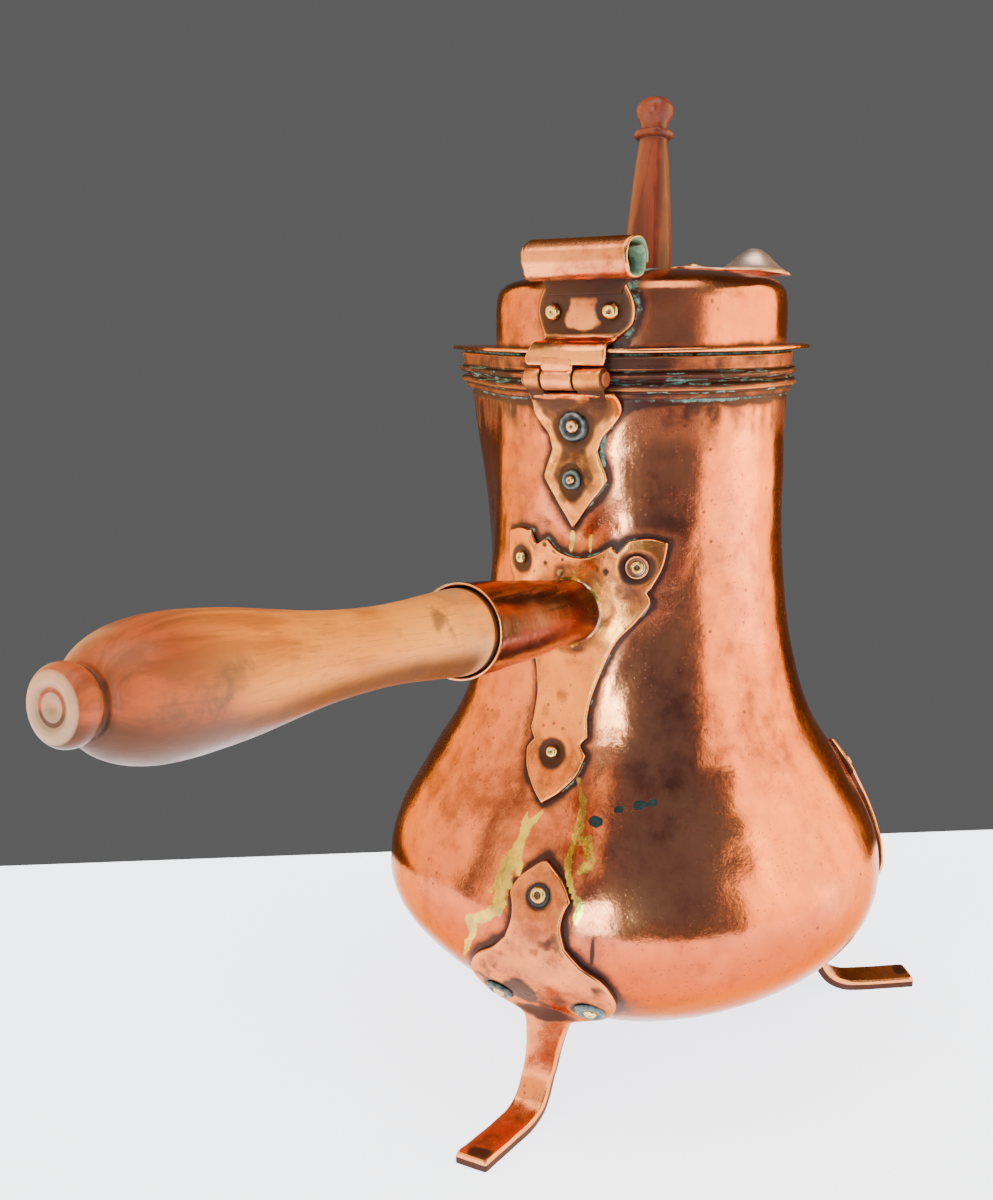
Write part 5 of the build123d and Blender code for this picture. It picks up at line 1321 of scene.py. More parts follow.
# ---------------------------------------------------------------- wooden grip
def build_grip():
    body = [(12.62, 96.0), (12.62, 130.2), (12.62, 131.0), (12.3, 138.0), (11.75, 146.0), (10.95, 158.0), (10.55, 169.8), (10.75, 183.0), (11.6, 196.2),
            (13.05, 210.0), (14.45, 222.6), (15.15, 233.0), (15.35, 241.5), (14.85, 249.0), (13.5, 255.0), (11.4, 259.5),
            (8.9, 262.3), (7.6, 263.0)]
    pb = cr_path(body, 8)
    neck = cr_path([(7.6, 263.0), (6.75, 263.25), (6.5, 263.8), (6.7, 264.5), (7.4, 265.0)], 4)
    but = cr_path([(7.4, 265.0), (8.0, 266.1), (8.15, 267.3), (7.95, 268.7), (7.2, 269.9), (6.3, 270.45), (5.4, 270.65)], 5)
    face = cr_path([(5.4, 270.65), (4.7, 270.55), (4.2, 270.25), (3.4, 270.15), (2.4, 270.2), (1.4, 270.05), (0.7, 269.7), (0.0, 269.6)], 4)
    prof = np.concatenate([[(0.0, 96.0)], pb[:-1], neck[:-1], but[:-1], face])
    s = prof[:, 1]
    dk = np.zeros(len(prof))
    dk = np.where(s < 131.5, 0.9, dk)
    dk = np.maximum(dk, 0.85 * np.exp(-((s - 263.6) / 0.7) ** 2) * (prof[:, 0] < 7.9) * (s < 265))
    ed = 0.8 * np.exp(-((s - 270.55) / 0.5) ** 2) * (prof[:, 0] > 3.8) * (prof[:, 0] < 7.0)
    ed = np.maximum(ed, 0.55 * (s > 269.4) * (prof[:, 0] < 2.8))

    def wob(r, ss, th):
        q = np.stack([r * np.cos(th), r * np.sin(th), ss], -1)
        k = smooth(ss, 131.0, 140.0)
        return r * (1 - 0.006 * k * (1 + vnoise(q, 18.0, 121))), ss
    p = Part()
    tg = np.linspace(0, 2 * np.pi, 96, endpoint=False)
    # underside mask, stored in the verdigris attribute; the grip's material darkens it as painted shade
    under = smooth(-np.sin(tg), -0.25, 0.75)[None] * smooth(s, 128, 140)[:, None]
    turned(p, prof, HORG, HDIR, 96, wob=wob, m_dark=dk, m_edge=ed, m_verd=under)
    return p.obj("handle_grip_turned", M_GRIP, "pot", "grip_wood", ["handle_grip"])


build_grip()


# ---------------------------------------------------------------- feet
def build_foot(name, ang, dz, reach, lean, seed):
    # centre line of the forged strap in (rho, z), from the plate's tip down to the toe
    pts = []
    for z in [q + dz for q in (101.4, 96.0, 88.0, 80.0, 72.0, 64.0, 57.0)] + ([51.0 + dz] if dz < 3 else [57.0, 51.0][(dz > 8):]):
        r = float(r_at(z))
        nr, nz = n_at(z)
        o = GAP + FOOT_T / 2
        pts.append((r + nr * o, z + nz * o))
    pts += [(84.0, 45.0), (81.4, 38.0), (79.9, 30.0), (79.15, 20.0), (80.6, 12.0), (84.8, 6.2), (91.0, 2.95), (98.0, 2.2),
            (reach, 2.2)]
    mid = resample(cr_path(pts, 16), 0.5)
    seg = np.linalg.norm(np.diff(mid, axis=0), axis=1)
    S = np.concatenate([[0], np.cumsum(seg)])
    dd = np.gradient(mid, axis=0)
    dd /= np.linalg.norm(dd, axis=1)[:, None]
    nn = np.stack([-dd[:, 1], dd[:, 0]], 1)           # outwards: away from the belly / upwards at the toe
    L = S[-1]
    zS = mid[:, 1]

    def s_of_z(z):
        k = int(np.argmin(zS))
        zz, ss = zS[:k + 1][::-1], S[:k + 1][::-1]
        return np.interp(z, zz, ss)

    def M(s):
        return (np.interp(s, S, mid[:, 0]), np.interp(s, S, mid[:, 1]), np.interp(s, S, nn[:, 0]), np.interp(s, S, nn[:, 1]))

    s_join = float(s_of_z(47.0 + 0.5 * dz))
    s_free = float(s_of_z(34.0))
    k_toe = int(np.argmax((mid[:, 1] < 9) & (mid[:, 0] > 86.0)))
    ks = [0.0, float(s_of_z(60.0)), float(s_of_z(40.6)), float(s_of_z(31.0)), float(s_of_z(22.0)), float(s_of_z(12.0)), S[k_toe], L]
    kc = np.array([0, 0, -0.9, -2.9, -4.6, -6.4, -6.9, -14.6]) * lean / 14.7
    fine_s = np.linspace(0, L, 600)
    fine_c = np.interp(fine_s, ks, kc)
    ker = np.hanning(41)
    ker /= ker.sum()
    fine_c = np.convolve(np.concatenate([np.full(20, fine_c[0]), fine_c, fine_c[-1] + (fine_c[-1] - fine_c[-2]) * np.arange(1, 21)]), ker, mode="valid")

    def thick(s):
        t = smooth(s, s_join - 2, s_free + 4)
        return FOOT_T + (STRAP_T - FOOT_T) * t

    def place(x, s, d):
        """d measured from the underside."""
        rho, z, nr, nz = M(s)
        t = thick(s)
        k = 1 - smooth(s, s_join - 4, s_free)
        off = d - t / 2
        rr = rho + nr * off
        zz = z + nz * off
        x = x + np.interp(s, fine_s, fine_c)
        a = np.arcsin(np.clip(x / rr, -0.9, 0.9))
        xs = k * rr * np.sin(a) + (1 - k) * x
        ys = -(k * rr * np.cos(a) + (1 - k) * rr)
        return rot_z(np.stack([xs, ys, np.maximum(zz, 0.0)], -1), ang)

    # outline in (x, s)
    up = [(x, float(s_of_z(z + dz))) for x, z in foot_up]
    md = [(x, float(s_of_z(z + dz))) for x, z in foot_mid]
    lw = [(x, float(s_of_z(z + dz))) for x, z in foot_low[:-1]]
    half = [(9.0, float(s_of_z(40.6 + dz)))] + ([(8.3, float(s_of_z(40.6)))] if dz > 3 else [])
    half += [(7.3, float(s_of_z(34.0))), (6.5, float(s_of_z(27.0))), (5.9, float(s_of_z(19.0))), (5.65, L - 28.0), (5.6, L - 14.0), (5.7, L - 0.4)]
    right = [up, md, lw + half[:2], half[1:]]
    loop = seg_outline(right + [[(5.7, L - 0.4), (5.3, L)], [(5.3, L), (-5.3, L)], [(-5.3, L), (-5.7, L - 0.4)]] + [mir(q) for q in reversed(right)], 0.9)
    rvs = [(x, float(s_of_z(z + dz))) for x, z in FOOT_RV]

    def relief(u, v, dist):
        q = np.stack([u, v, seed * 9.0 + 0 * u], -1)
        return 0.20 * vnoise(q, 10.0, 131) + 0.08 * vnoise(q, 4.0, 132) - 0.14

    def at(u, v, dist):
        q = np.stack([u, v, seed * 9.0 + 0 * u], -1)
        n1 = fbm(q, 7.0, 141)
        dk = np.zeros_like(u)
        for (cx, cy), rr in zip(rvs, (4.8, 6.6, 6.4)):
            d = np.hypot(u - cx, v - cy)
            dk = np.maximum(dk, 0.95 * smooth(d, rr + 1.6, rr * 0.6))
        # dark stain across the middle and down to the neck of the strap
        d = np.hypot((u + 6.0) / 8.0, (v - (rvs[1][1] - 3.0)) / 9.0)
        dk = np.maximum(dk, 0.85 * smooth(d + 0.35 * n1, 1.15, 0.55))
        d = np.hypot((u + 1.0) / 12.0, (v - float(s_of_z(43.5 + 0.6 * dz))) / 5.0)
        dk = np.maximum(dk, 0.85 * smooth(d + 0.3 * n1, 1.2, 0.5))
        dk = np.maximum(dk, 0.45 * smooth(n1, 0.3, 0.6))
        # the toe is stained, and black at its tip
        dk = np.maximum(dk, (0.30 + 0.25 * n1) * smooth(v, L - 34.0, L - 22.0))
        dk = np.maximum(dk, 0.95 * smooth(v + 2.0 * n1, L - 8.0, L - 3.5) * smooth(u + 3.0 * n1, -5.0, 1.0))
        return {"m_dark": np.clip(dk, 0, 1) * smooth(dist, 0.1, 1.0), "m_verd": 0.0 * u,
                "m_edge": np.exp(-dist / 0.9) * (0.5 + 0.5 * smooth(v, s_join, s_free + 5) + 0.3 * (v < s_join))}
    p = Part()
    cut_sheet(p, loop, place, lambda u, v: thick(v), 0.75, 1.2, 0.62, relief, at, 40 + seed, 0.12,
              dip=wells(rvs, 6.2, 0.60, 0.16), side=0.88)
    # the underside of the free strap bulges: its lower face follows the same sheet, so nothing more is needed
    p.obj(name + "_forged", M_FOOT, "pot", "copper_fittings", [name], sw=True, flat_angle=50)
    rvp, wsp = Part(), Part()
    for i, (x, z) in enumerate(FOOT_RV):
        P0, n0 = skin_frame(x, z + dz)
        P0 = rot_z(P0, ang)
        n0 = rot_z(n0, ang)
        b = GAP + FOOT_T + 0.08
        if i == 0:
            prof = np.array([(2.15, b - .6), (2.15, b - 0.3), (2.8, b - 0.25), (3.3, b - 0.28), (3.7, b - .4), (3.9, b - 0.7)])
            turned(wsp, prof, P0, n0, 36, closed_prof=True, m_dark=0.85, m_edge=0.0)
            rivet_mesh(rvp, P0, n0, b - 0.35, 2.7, 1.6, shank=2.0, seed=51 + seed * 5, tube=True)
        else:
            wide = 5.6 if i == 2 else 5.1
            washer_mesh(wsp, P0, n0, b - 0.55, wide, 1.55, 2.15, seed=61 + i + seed * 3, crimp=0.08, bloom=0.95 if i == 2 else 0.35,
                        inner=0.3 if i == 2 else 0.6)
            rivet_mesh(rvp, P0, n0, b + 0.35, 2.3, 1.15, shank=2.0, seed=71 + i + seed * 3, pit=0.25)
    rvp.obj(name + "_rivet_heads", M_BRASS, "pot", "rivet_brass", [name + "_rivets"], sw=True)
    wsp.obj(name + "_washer_rings", M_WASH2, "pot", "dark_washers", [name + "_washers"], sw=True)


for k_, (name_, dims_) in enumerate(FEET.items()):
    build_foot(name_, *dims_, k_)


# ---------------------------------------------------------------- lid dome, flange
def dome_curve():
    c = cr_path(DOME, 14)
    return resample(c, 0.9)


def build_dome():
    c = dome_curve()
    cz_r, cz_z = c[::-1, 0], c[::-1, 1]
    k_sh = int(np.argmin(np.abs(c[:, 1] - 287.9)))
    th = np.linspace(0, 2 * np.pi, 240, endpoint=False)
    dd = np.gradient(c, axis=0)
    dd /= np.linalg.norm(dd, axis=1)[:, None]
    nn = np.stack([dd[:, 1], -dd[:, 0]], 1)
    if nn[0, 0] < 0:
        nn = -nn

    def surface(d):
        rows = []
        for i in range(k_sh + 1):
            r, z = c[i, 0] + nn[i, 0] * d, c[i, 1] + nn[i, 1] * d
            rows.append(np.stack([r * np.cos(th), r * np.sin(th), z + 0 * th], -1))
        ring = rows[-1][:, :2]
        hx = HOLE_X + HOLE_R * np.cos(th)
        hy = HOLE_Y + HOLE_R * np.sin(th)
        m = 44
        for j in range(1, m + 1):
            f = j / m
            x = ring[:, 0] * (1 - f) + hx * f
            y = ring[:, 1] * (1 - f) + hy * f
            rr = np.hypot(x, y)
            z = np.interp(rr, cz_r, cz_z) + d
            rows.append(np.stack([x, y, z], -1))
        return np.array(rows)
    out = surface(0.0)
    q = out.copy()
    bmp = 0.10 * (vnoise(q, 14.0, 151) - 0.8) + 0.03 * (vnoise(q, 5.0, 152) - 0.8)
    top = smooth(out[..., 2], 284.0, 289.0)
    nrm = np.stack([np.cos(th) * np.ones(out.shape[:2]) * (1 - top), np.sin(th) * np.ones(out.shape[:2]) * (1 - top), top], -1)
    out = out + nrm * bmp[..., None]
    inn = surface(-DOME_T)
    lip = (out[-1] + inn[-1]) / 2
    lip = lip - 0.15 * np.stack([np.cos(th), np.sin(th), 0 * th], -1)
    G = np.concatenate([out, lip[None], inn[::-1], out[:1]])
    z = G[..., 2]
    isout = np.zeros(G.shape[:2])
    isout[:len(out)] = 1
    patch = 0.5 + 0.5 * fbm(G, 10.0, 161)
    dark = 0.6 * np.exp(-np.clip(z - 266.3, 0, 99) / 1.4) + 0.25 * np.exp(-np.clip(z - 266.3, 0, 99) / 5.0) * patch
    # shade of patina round the hinge lobe, and stains over the front wall
    x = G[..., 0]
    front_ = (G[..., 1] < 0)
    lobe = np.where(front_, np.exp(-np.maximum(0, np.hypot((x - 3.5) / 1.0, (z - 279) * 1.0) - 16.0) / 3.5), 0)
    dark = np.maximum(dark, 0.9 * lobe)
    ang = np.degrees(np.arctan2(G[..., 0], -G[..., 1]))
    st = smooth(ang, 14, 22) * smooth(ang, 60, 44) * (z < 286)
    dark = np.maximum(dark, st * (0.12 + 0.25 * patch))
    dark = np.maximum(dark, 0.5 * np.exp(-np.abs(np.hypot(G[..., 0] - HOLE_X, G[..., 1] - HOLE_Y) - HOLE_R) / 1.2) * (z > 289))
    dark = dark * isout + (1 - isout) * 0.6
    verd = np.where(front_, 0.5 * np.exp(-np.maximum(0, np.hypot((x - 3.5), (z - 279)) - 16.5) / 1.2), 0) * isout
    verd = np.maximum(verd, 0.25 * np.exp(-np.clip(z - 266.3, 0, 99) / 0.8) * (patch > 0.55) * isout)
    p = Part()
    # the edge mask here is a paler band along the dome's shoulder: a painted highlight
    p.grid(G, flip=False, m_dark=np.clip(dark, 0, 1), m_verd=np.clip(verd, 0, 1),
           m_edge=0.35 * np.exp(-((z - 285.6) / 1.6) ** 2) * isout)
    return p.obj("lid_dome_raised", M_LID, "lid", "copper_lid", ["lid_dome"])


build_dome()


def build_flange():
    th = np.unique(np.round(np.concatenate([np.linspace(0, 2 * np.pi, 360, endpoint=False),
                                            math.pi + np.linspace(-0.13, 0.13, 41)]), 6))
    phi = th - math.pi
    R = beaked(phi, 60.3 + 0 * th, 80.8 + 0 * th)
    circ = np.stack([60 * np.cos(th), 60 * np.sin(th), 0 * th], -1)
    R = R - 0.25 - 0.25 * vnoise(circ, 9.0, 171)
    wave = 0.16 * vnoise(circ, 22.0, 172)
    rows, ed, dk = [], [], []
    zt, zb = 266.3, 265.0
    r_in = 47.6

    def row(f, z, e, d, inset=0.0, lift=1.0):
        rr = r_in + (R - inset - r_in) * f
        rows.append(np.stack([rr * np.cos(th), rr * np.sin(th), z + lift * wave * f ** 2], -1))
        ed.append(np.full(len(th), e))
        dk.append(np.full(len(th), d))
    row(0.0, zb, 0, 1)
    row(0.0, zt, 0, 1)
    for f in np.linspace(0.2, 0.97, 14):
        row(f, zt, 0.05, 0.18 if f > 0.45 else 0.5)
    row(1.0, zt, 0.8, 0, 0.55)
    row(1.0, zt - 0.08, 1.0, 0, 0.25)
    row(1.0, zt - 0.32, 1.0, 0, 0.04)
    row(1.0, (zt + zb) / 2, 1.0, 0, 0.0)
    row(1.0, zb + 0.32, 0.9, 0, 0.04)
    row(1.0, zb + 0.08, 0.5, .3, 0.25)
    row(1.0, zb, 0.1, .8, 0.55, 0.0)
    for f in np.linspace(0.95, 0.15, 8):
        row(f, zb, 0, 0.9, 0.0, 0.0)
    G = np.array(rows)
    G = np.concatenate([G, G[:1]])
    ed.append(ed[0])
    dk.append(dk[0])
    patch = 0.5 + 0.5 * fbm(G, 8.0, 181)
    dkk = np.array(dk) * (0.5 + 0.8 * patch)
    verd = 0.35 * np.exp(-np.abs(np.hypot(G[..., 0], G[..., 1]) - 53.2) / 0.7) * (G[..., 2] > 265.9)
    p = Part()
    p.grid(G, flip=False, m_edge=np.array(ed), m_dark=np.clip(dkk, 0, 1), m_verd=verd)
    return p.obj("lid_flange_beaked", M_LID, "lid", "copper_lid", ["lid_flange"])


build_flange()


# ---------------------------------------------------------------- upper leaf with the thumb roll
T2 = 1.4
UP_PATH = [(62.95, 261.05), (63.15, 262.6), (62.75, 264.6), (61.85, 266.6), (59.9, 268.1), (56.8, 268.3), (54.2, 269.0),
           (53.05, 271.3), (52.95, 275.0), (52.9, 281.5), (53.0, 286.5), (53.1, 292.5)]
ROLL_R, ROLL_C, RX0, RX1 = 7.0, (59.6, 293.4), -13.6, 25.2


def build_upper_leaf():
    p = Part()
    path = resample(cr_path(UP_PATH, 14), 0.3)
    seg = np.linalg.norm(np.diff(path, axis=0), axis=1)
    S = np.concatenate([[0], np.cumsum(seg)])
    dd = np.gradient(path, axis=0)
    dd /= np.linalg.norm(dd, axis=1)[:, None]
    nn = np.stack([dd[:, 1], -dd[:, 0]], 1)
    zmono = np.maximum.accumulate(path[:, 1] + 1e-5 * np.arange(len(path)))

    def s_of_z(z):
        return float(np.interp(z, zmono, S))

    def place(x, s, d):
        r, z = np.interp(s, S, path[:, 0]), np.interp(s, S, path[:, 1])
        nr, nz = np.interp(s, S, nn[:, 0]), np.interp(s, S, nn[:, 1])
        o = d - T2 / 2
        rr = r + nr * o
        a = np.arcsin(np.clip(x / rr, -0.9, 0.9))
        return np.stack([rr * np.sin(a), -rr * np.cos(a), z + nz * o], -1)
    left = [(-13.7, 261.2), (-14.2, 263.5), (-13.2, 266.3), (-11.6, 268.6), (-11.9, 270.4), (-13.4, 273.9),
            (-14.4, 278.1), (-13.6, 282.4), (-11.4, 286.2), (-11.1, 287.4)]
    right = [(15.98, 287.4), (16.2, 286.2), (18.0, 282.4), (19.0, 278.0), (18.3, 273.6), (15.8, 270.8), (13.4, 268.9),
             (13.9, 266.3), (14.2, 263.5), (13.7, 261.2)]
    zf = lambda q: [(x, max(0.0, s_of_z(z))) for x, z in q]
    loop = seg_outline([zf(left), zf([(-11.1, 287.4), (15.98, 287.4)]), zf(right), zf([(13.7, 261.2), (-13.7, 261.2)])], 0.7)
    rvs = [(x, s_of_z(z)) for x, z in UP_RV]
    s_top = s_of_z(287.4)
    s_bend = s_of_z(269.4)
    s_ap = s_of_z(267.0)

    def relief(u, v, dist):
        q = np.stack([u, v, 0 * u], -1)
        return 0.14 * vnoise(q, 6.0, 191) + 0.06 * vnoise(q, 2.4, 192) - 0.10

    def at(u, v, dist):
        q = np.stack([u, v, 0 * u], -1)
        n1 = fbm(q, 5.0, 201)
        dk = 0.95 * smooth(v, s_top - 7.5, s_top - 3.0)
        # mostly dark, with a clean patch in the middle of the lobe
        mid_ = np.hypot((u - 2.2) / 6.2, (v - (s_bend + s_top) * 0.5 + 0.6) / 6.0)
        dk = np.maximum(dk, 0.85 * smooth(mid_ + 0.35 * n1, 0.75, 1.25) * smooth(v, s_bend, s_bend + 2.5))
        for cx, cy in rvs:
            dk = np.maximum(dk, 0.95 * smooth(np.hypot(u - cx, v - cy), 6.2, 3.6) * (0.8 + 0.2 * n1))
        dk = np.maximum(dk, 0.6 * smooth(v, 0.8, 0.1))
        vg = 0.70 * smooth(v, s_top - 1.6, s_top - 0.4) + 0.2 * smooth(v, 0.6, 0.1)
        ed = np.exp(-dist / 0.8) * (v < s_top - 2) + 0.8 * smooth(v, s_bend + 0.5, s_bend - 1.0)
        return {"m_dark": np.clip(dk, 0, 1) * smooth(dist, 0.1, 1.0), "m_verd": np.clip(vg, 0, 1), "m_edge": np.clip(ed, 0, 1)}
    cut_sheet(p, loop, place, T2, 0.7, 0.9, 0.35, relief, at, 25, 0.12, dip=wells(rvs, 4.8, 0.40, 0.10), side=0.7)
    # strip between the lobe's top and the roll, and the roll itself: one curled ribbon
    cy, cz = -ROLL_C[0], ROLL_C[1]
    turns = 1.18
    N = 120
    core = [(-53.05, 283.2), (-53.1, 286.5), (-53.15, 290.0)]
    spiral = []
    for i in range(N + 1):
        f = i / N
        a = math.pi - f * turns * 2 * math.pi
        ro = ROLL_R - 2.3 * max(0.0, f * turns - 0.25) - T2 / 2
        spiral.append((cy - ro * math.cos(a), cz + ro * math.sin(a)))
    ribbon = np.concatenate([cr_path(core + [spiral[0], spiral[6]], 8)[:-9], np.array(spiral[1:])])
    ribbon = resample(ribbon, 0.5)
    seg = np.linalg.norm(np.diff(ribbon, axis=0), axis=1)
    RS = np.concatenate([[0], np.cumsum(seg)])
    dn = np.gradient(ribbon, axis=0)
    dn /= np.linalg.norm(dn, axis=1)[:, None]
    # left-hand normal: towards the outside of the roll
    no = np.stack([-dn[:, 1], dn[:, 0]], 1)
    xs_n = 46
    half = T2 / 2
    L = RS[-1]
    grid_o, grid_i = [], []
    f_ = np.linspace(0, 1, xs_n)
    for k, ((y, z), (ny, nz)) in enumerate(zip(ribbon, no)):
        s = RS[k]
        grow = smooth(s, 0.0, 10.0)
        x0 = -11.0 + (RX0 + 11.0) * grow
        x1 = 15.9 + (RX1 - 15.9) * grow
        # the roll's mouth is cut back on its front
        front_k = smooth((cy - y) / ROLL_R, -0.35, 0.55) * smooth(s, 6.0, 12.0)
        x1 = x1 - 1.8 * front_k
        e = np.array([0.45, 0.22]) * vnoise(np.array([[s, 0.0, 3.0], [s, 40.0, 3.0]]), 3.2, 211)
        x = x0 + 0.25 + e[0] + (x1 - x0 - 0.5 + e[1] - e[0]) * f_
        de = np.minimum(x - x[0], x[-1] - x)
        t = half * (0.35 + 0.65 * np.sqrt(np.maximum(0, 1 - (1 - np.clip(de / 0.5, 0, 1)) ** 2)))
        t = t * (0.45 + 0.55 * smooth(s, L, L - 0.9))
        q = np.stack([x, s + 0 * x, 0 * x], -1)
        b = 0.07 * vnoise(q, 7.0, 212) - 0.05 + 0.03 * vnoise(q, 3.0, 213)
        # keep inside the CAD roll
        grid_o.append(np.stack([x, y + ny * (t + b), z + nz * (t + b)], -1))
        grid_i.append(np.stack([x, y - ny * t, z - nz * t], -1))
    go, gi = np.array(grid_o), np.array(grid_i)
    ring = np.concatenate([go, gi[:, ::-1]], axis=1)
    sk = RS[:, None] * np.ones(ring.shape[1])
    isout = np.concatenate([np.ones(xs_n), np.zeros(xs_n)])[None] * np.ones((len(RS), 1))
    # the ribbon's outer face on the show side is the one away from the roll's centre
    cdist = np.hypot(ring[..., 1] - cy, ring[..., 2] - cz)
    outer = cdist > (np.hypot(ribbon[:, 0] - cy, ribbon[:, 1] - cz)[:, None])
    low = smooth(ring[..., 2], cz - 3.0, cz - 6.5) * outer
    patch = 0.5 + 0.5 * fbm(ring, 6.0, 221)
    dk = np.where(outer, 0.08 + 0.62 * low * patch, 0.30)
    dk = np.maximum(dk, np.where(outer, 0.85 * smooth(sk, 5.0, 2.0), 0))
    vg = np.where(outer, 0.55 * smooth(ring[..., 2], cz - 5.9, cz - 6.9) * (ring[..., 1] > cy - 2.0), 0.0)
    # inside, pale green low in the mouth and black further in: the black is painted shade, deepening away from the
    # mouth
    deep = smooth(ring[..., 0], 21.8, 17.8)
    on_roll = smooth(sk, 8.0, 11.0)
    tn = np.where(outer, 0.0, 0.9 * (1 - deep)) * on_roll
    dk = np.maximum(dk, np.where(outer, 0, 1.0 * deep))
    dk = np.maximum(dk, 0.9 * (1 - on_roll))
    edr = np.exp(-np.minimum(np.abs(ring[..., 0] - ring[..., :1, 0]), np.abs(ring[..., 0] - ring[..., xs_n - 1:xs_n, 0])) / 0.7) * outer
    p.grid(ring, closed=True, caps=(True, True), flip=False, m_dark=np.clip(dk, 0, 1), m_verd=np.clip(vg, 0, 1), m_edge=edr, m_tint=tn)
    # knuckle and the tongue that joins it to the apron
    x0, x1 = KNUCKLES[1]
    knuckle(p, x0, x1, 19, dark=0.12)
    sec = cr_path([(-62.4, 259.4), (-63.0, 260.6), (-63.2, 262.2), (-62.9, 263.6)], 5)
    dn = np.gradient(sec, axis=0)
    dn /= np.linalg.norm(dn, axis=1)[:, None]
    nrm = np.stack([-dn[:, 1], dn[:, 0]], 1)
    xs = np.array([x0, x0 + 0.25, x0 + 0.7, (x0 + x1) / 2, x1 - 0.7, x1 - 0.25, x1])
    off = np.array([0.3, 0.55, 0.7, 0.7, 0.7, 0.55, 0.3])
    rr = []
    for (y, z), (ny, nz) in zip(sec, nrm):
        rr.append([(x, y + ny * o, z + nz * o) for x, o in zip(xs, off)] + [(x, y - ny * o, z - nz * o) for x, o in zip(xs[::-1], off[::-1])])
    p.grid(np.array(rr), closed=True, caps=(True, True), flip=False, m_dark=0.1, m_edge=0.3)
    return p.obj("hinge_upper_leaf_rolled", copper("copper_upper_leaf", rough=0.25, tone=0.5, mottle=0.7, spots=0.7, streaks=0.1, hammer=0.2,
                                                   edge=0.8, a=(0.88, 0.28, 0.085), b=(0.64, 0.16, 0.060), tint=(0.215, 0.300, 0.175)), "lid", "copper_fittings", ["hinge_upper_leaf"])


build_upper_leaf()

rv = Part()
for i, (x, z) in enumerate(UP_RV):
    a = math.asin(x / 52.1)
    n0 = np.array([math.sin(a), -math.cos(a), 0.0])
    P0 = 52.0 * n0 + np.array([0, 0, z])
    rivet_mesh(rv, P0, n0, 1.50, 2.85, 1.7, wall=DOME_T, seed=81 + i * 3, pit=0.12 if i == 0 else 0.3, sides=36, uneven=0.09)
rv.obj("hinge_upper_rivet_heads", M_BRASS2, "lid", "rivet_brass", ["hinge_upper_rivets"])


# ---------------------------------------------------------------- swivel cover and its rivet
PIVOT, PIVOT_TILT, COVER_DIR, COVER_ARM, COVER_T, CB = (12.6, 19.5), math.radians(4.2), math.radians(22.8), 21.6, 1.0, 0.35
pr_ = math.hypot(*PIVOT)
pu = (PIVOT[0] / pr_, PIVOT[1] / pr_)
dc = cr_path(DOME, 40)
pz = float(np.interp(pr_, dc[::-1, 0], dc[::-1, 1]))
PAX = np.array([math.sin(PIVOT_TILT) * pu[0], math.sin(PIVOT_TILT) * pu[1], math.cos(PIVOT_TILT)])
PX = np.array([math.cos(COVER_DIR), math.sin(COVER_DIR), -(PAX[0] * math.cos(COVER_DIR) + PAX[1] * math.sin(COVER_DIR)) / PAX[2]])
PX /= np.linalg.norm(PX)
PY = np.cross(PAX, PX)
PO = np.array([PIVOT[0], PIVOT[1], pz])


def build_cover():
    up = [(-8.6, 0.0), (-6.2, 6.0), (0.0, 8.4), (8.0, 7.6), (13.0, 10.2), (21.6, 12.5), (29.0, 9.4), (35.0, 0.0)]
    dn = [(35.0, 0.0), (29.0, -9.4), (21.6, -12.5), (13.0, -10.2), (8.0, -7.6), (0.0, -8.4), (-6.2, -6.0), (-8.6, 0.0)]
    loop = seg_outline([up, dn], 0.7)
    bell_r = np.array([0.0, 2.3, 2.7, 4.2, 6.2, 8.4, 10.2, 11.4, 12.6])
    bell_z = np.array([7.85, 7.7, 7.2, 6.4, 4.75, 2.6, 1.15, 0.45, 0.0])
    fr = np.linspace(0, 12.6, 200)
    bz_ = np.interp(fr, bell_r, bell_z)
    ker = np.hanning(17)
    ker /= ker.sum()
    bz2 = np.convolve(np.pad(bz_, 8, mode="edge"), ker, mode="valid")

    def bell(u, v):
        return np.interp(np.hypot(u - COVER_ARM, v), fr, bz2, right=0.0)

    def place(u, v, d):
        return PO + u[..., None] * PX + v[..., None] * PY + (CB + d)[..., None] * PAX

    def relief(u, v, dist):
        q = np.stack([u, v, 0 * u], -1)
        return bell(u, v) + 0.06 * vnoise(q, 7.0, 231) - 0.05

    def at(u, v, dist):
        q = np.stack([u, v, 0 * u], -1)
        d = np.hypot(u, v)
        dk = 0.8 * smooth(d, 6.0, 3.0)
        b = np.hypot(u - COVER_ARM, v)
        dk = np.maximum(dk, 0.4 * np.exp(-((b - 12.0) / 1.0) ** 2))
        dk = np.maximum(dk, 0.25 * smooth(fbm(q, 6.0, 232), 0.2, 0.5))
        return {"m_dark": dk, "m_edge": np.exp(-dist / 0.6)}
    p = Part()
    cut_sheet(p, loop, place, COVER_T, 0.5, 0.7, 0.45, relief, at, 35, 0.08,
              under=lambda u, v: np.maximum(0.0, bell(u, v) - 0.9) * smooth(np.hypot(u - COVER_ARM, v), 10.5, 9.0))
    return p.obj("swivel_cover_raised", M_COVER, "cover", "copper_lid", ["swivel_cover"])


build_cover()
rv = Part()
rivet_mesh(rv, PO, PAX, CB + COVER_T + 0.12, 3.3, 1.45, wall=DOME_T + 0.05, shank=1.9, seed=95, pit=0.08)
rv.obj("cover_pivot_rivet_head", M_COPPER_RV, "lid", "rivet_brass", ["cover_pivot_rivet"])


# ---------------------------------------------------------------- stirrer
SD = np.array([-0.01568, 0.12187, 0.99242])
SD /= np.linalg.norm(SD)
SLEN = 333.6
_t = (351.5 - 292.7) / SD[2]
STOP = np.array([HOLE_X, HOLE_Y, 292.7]) + SD * _t
SBOT = STOP - SD * SLEN


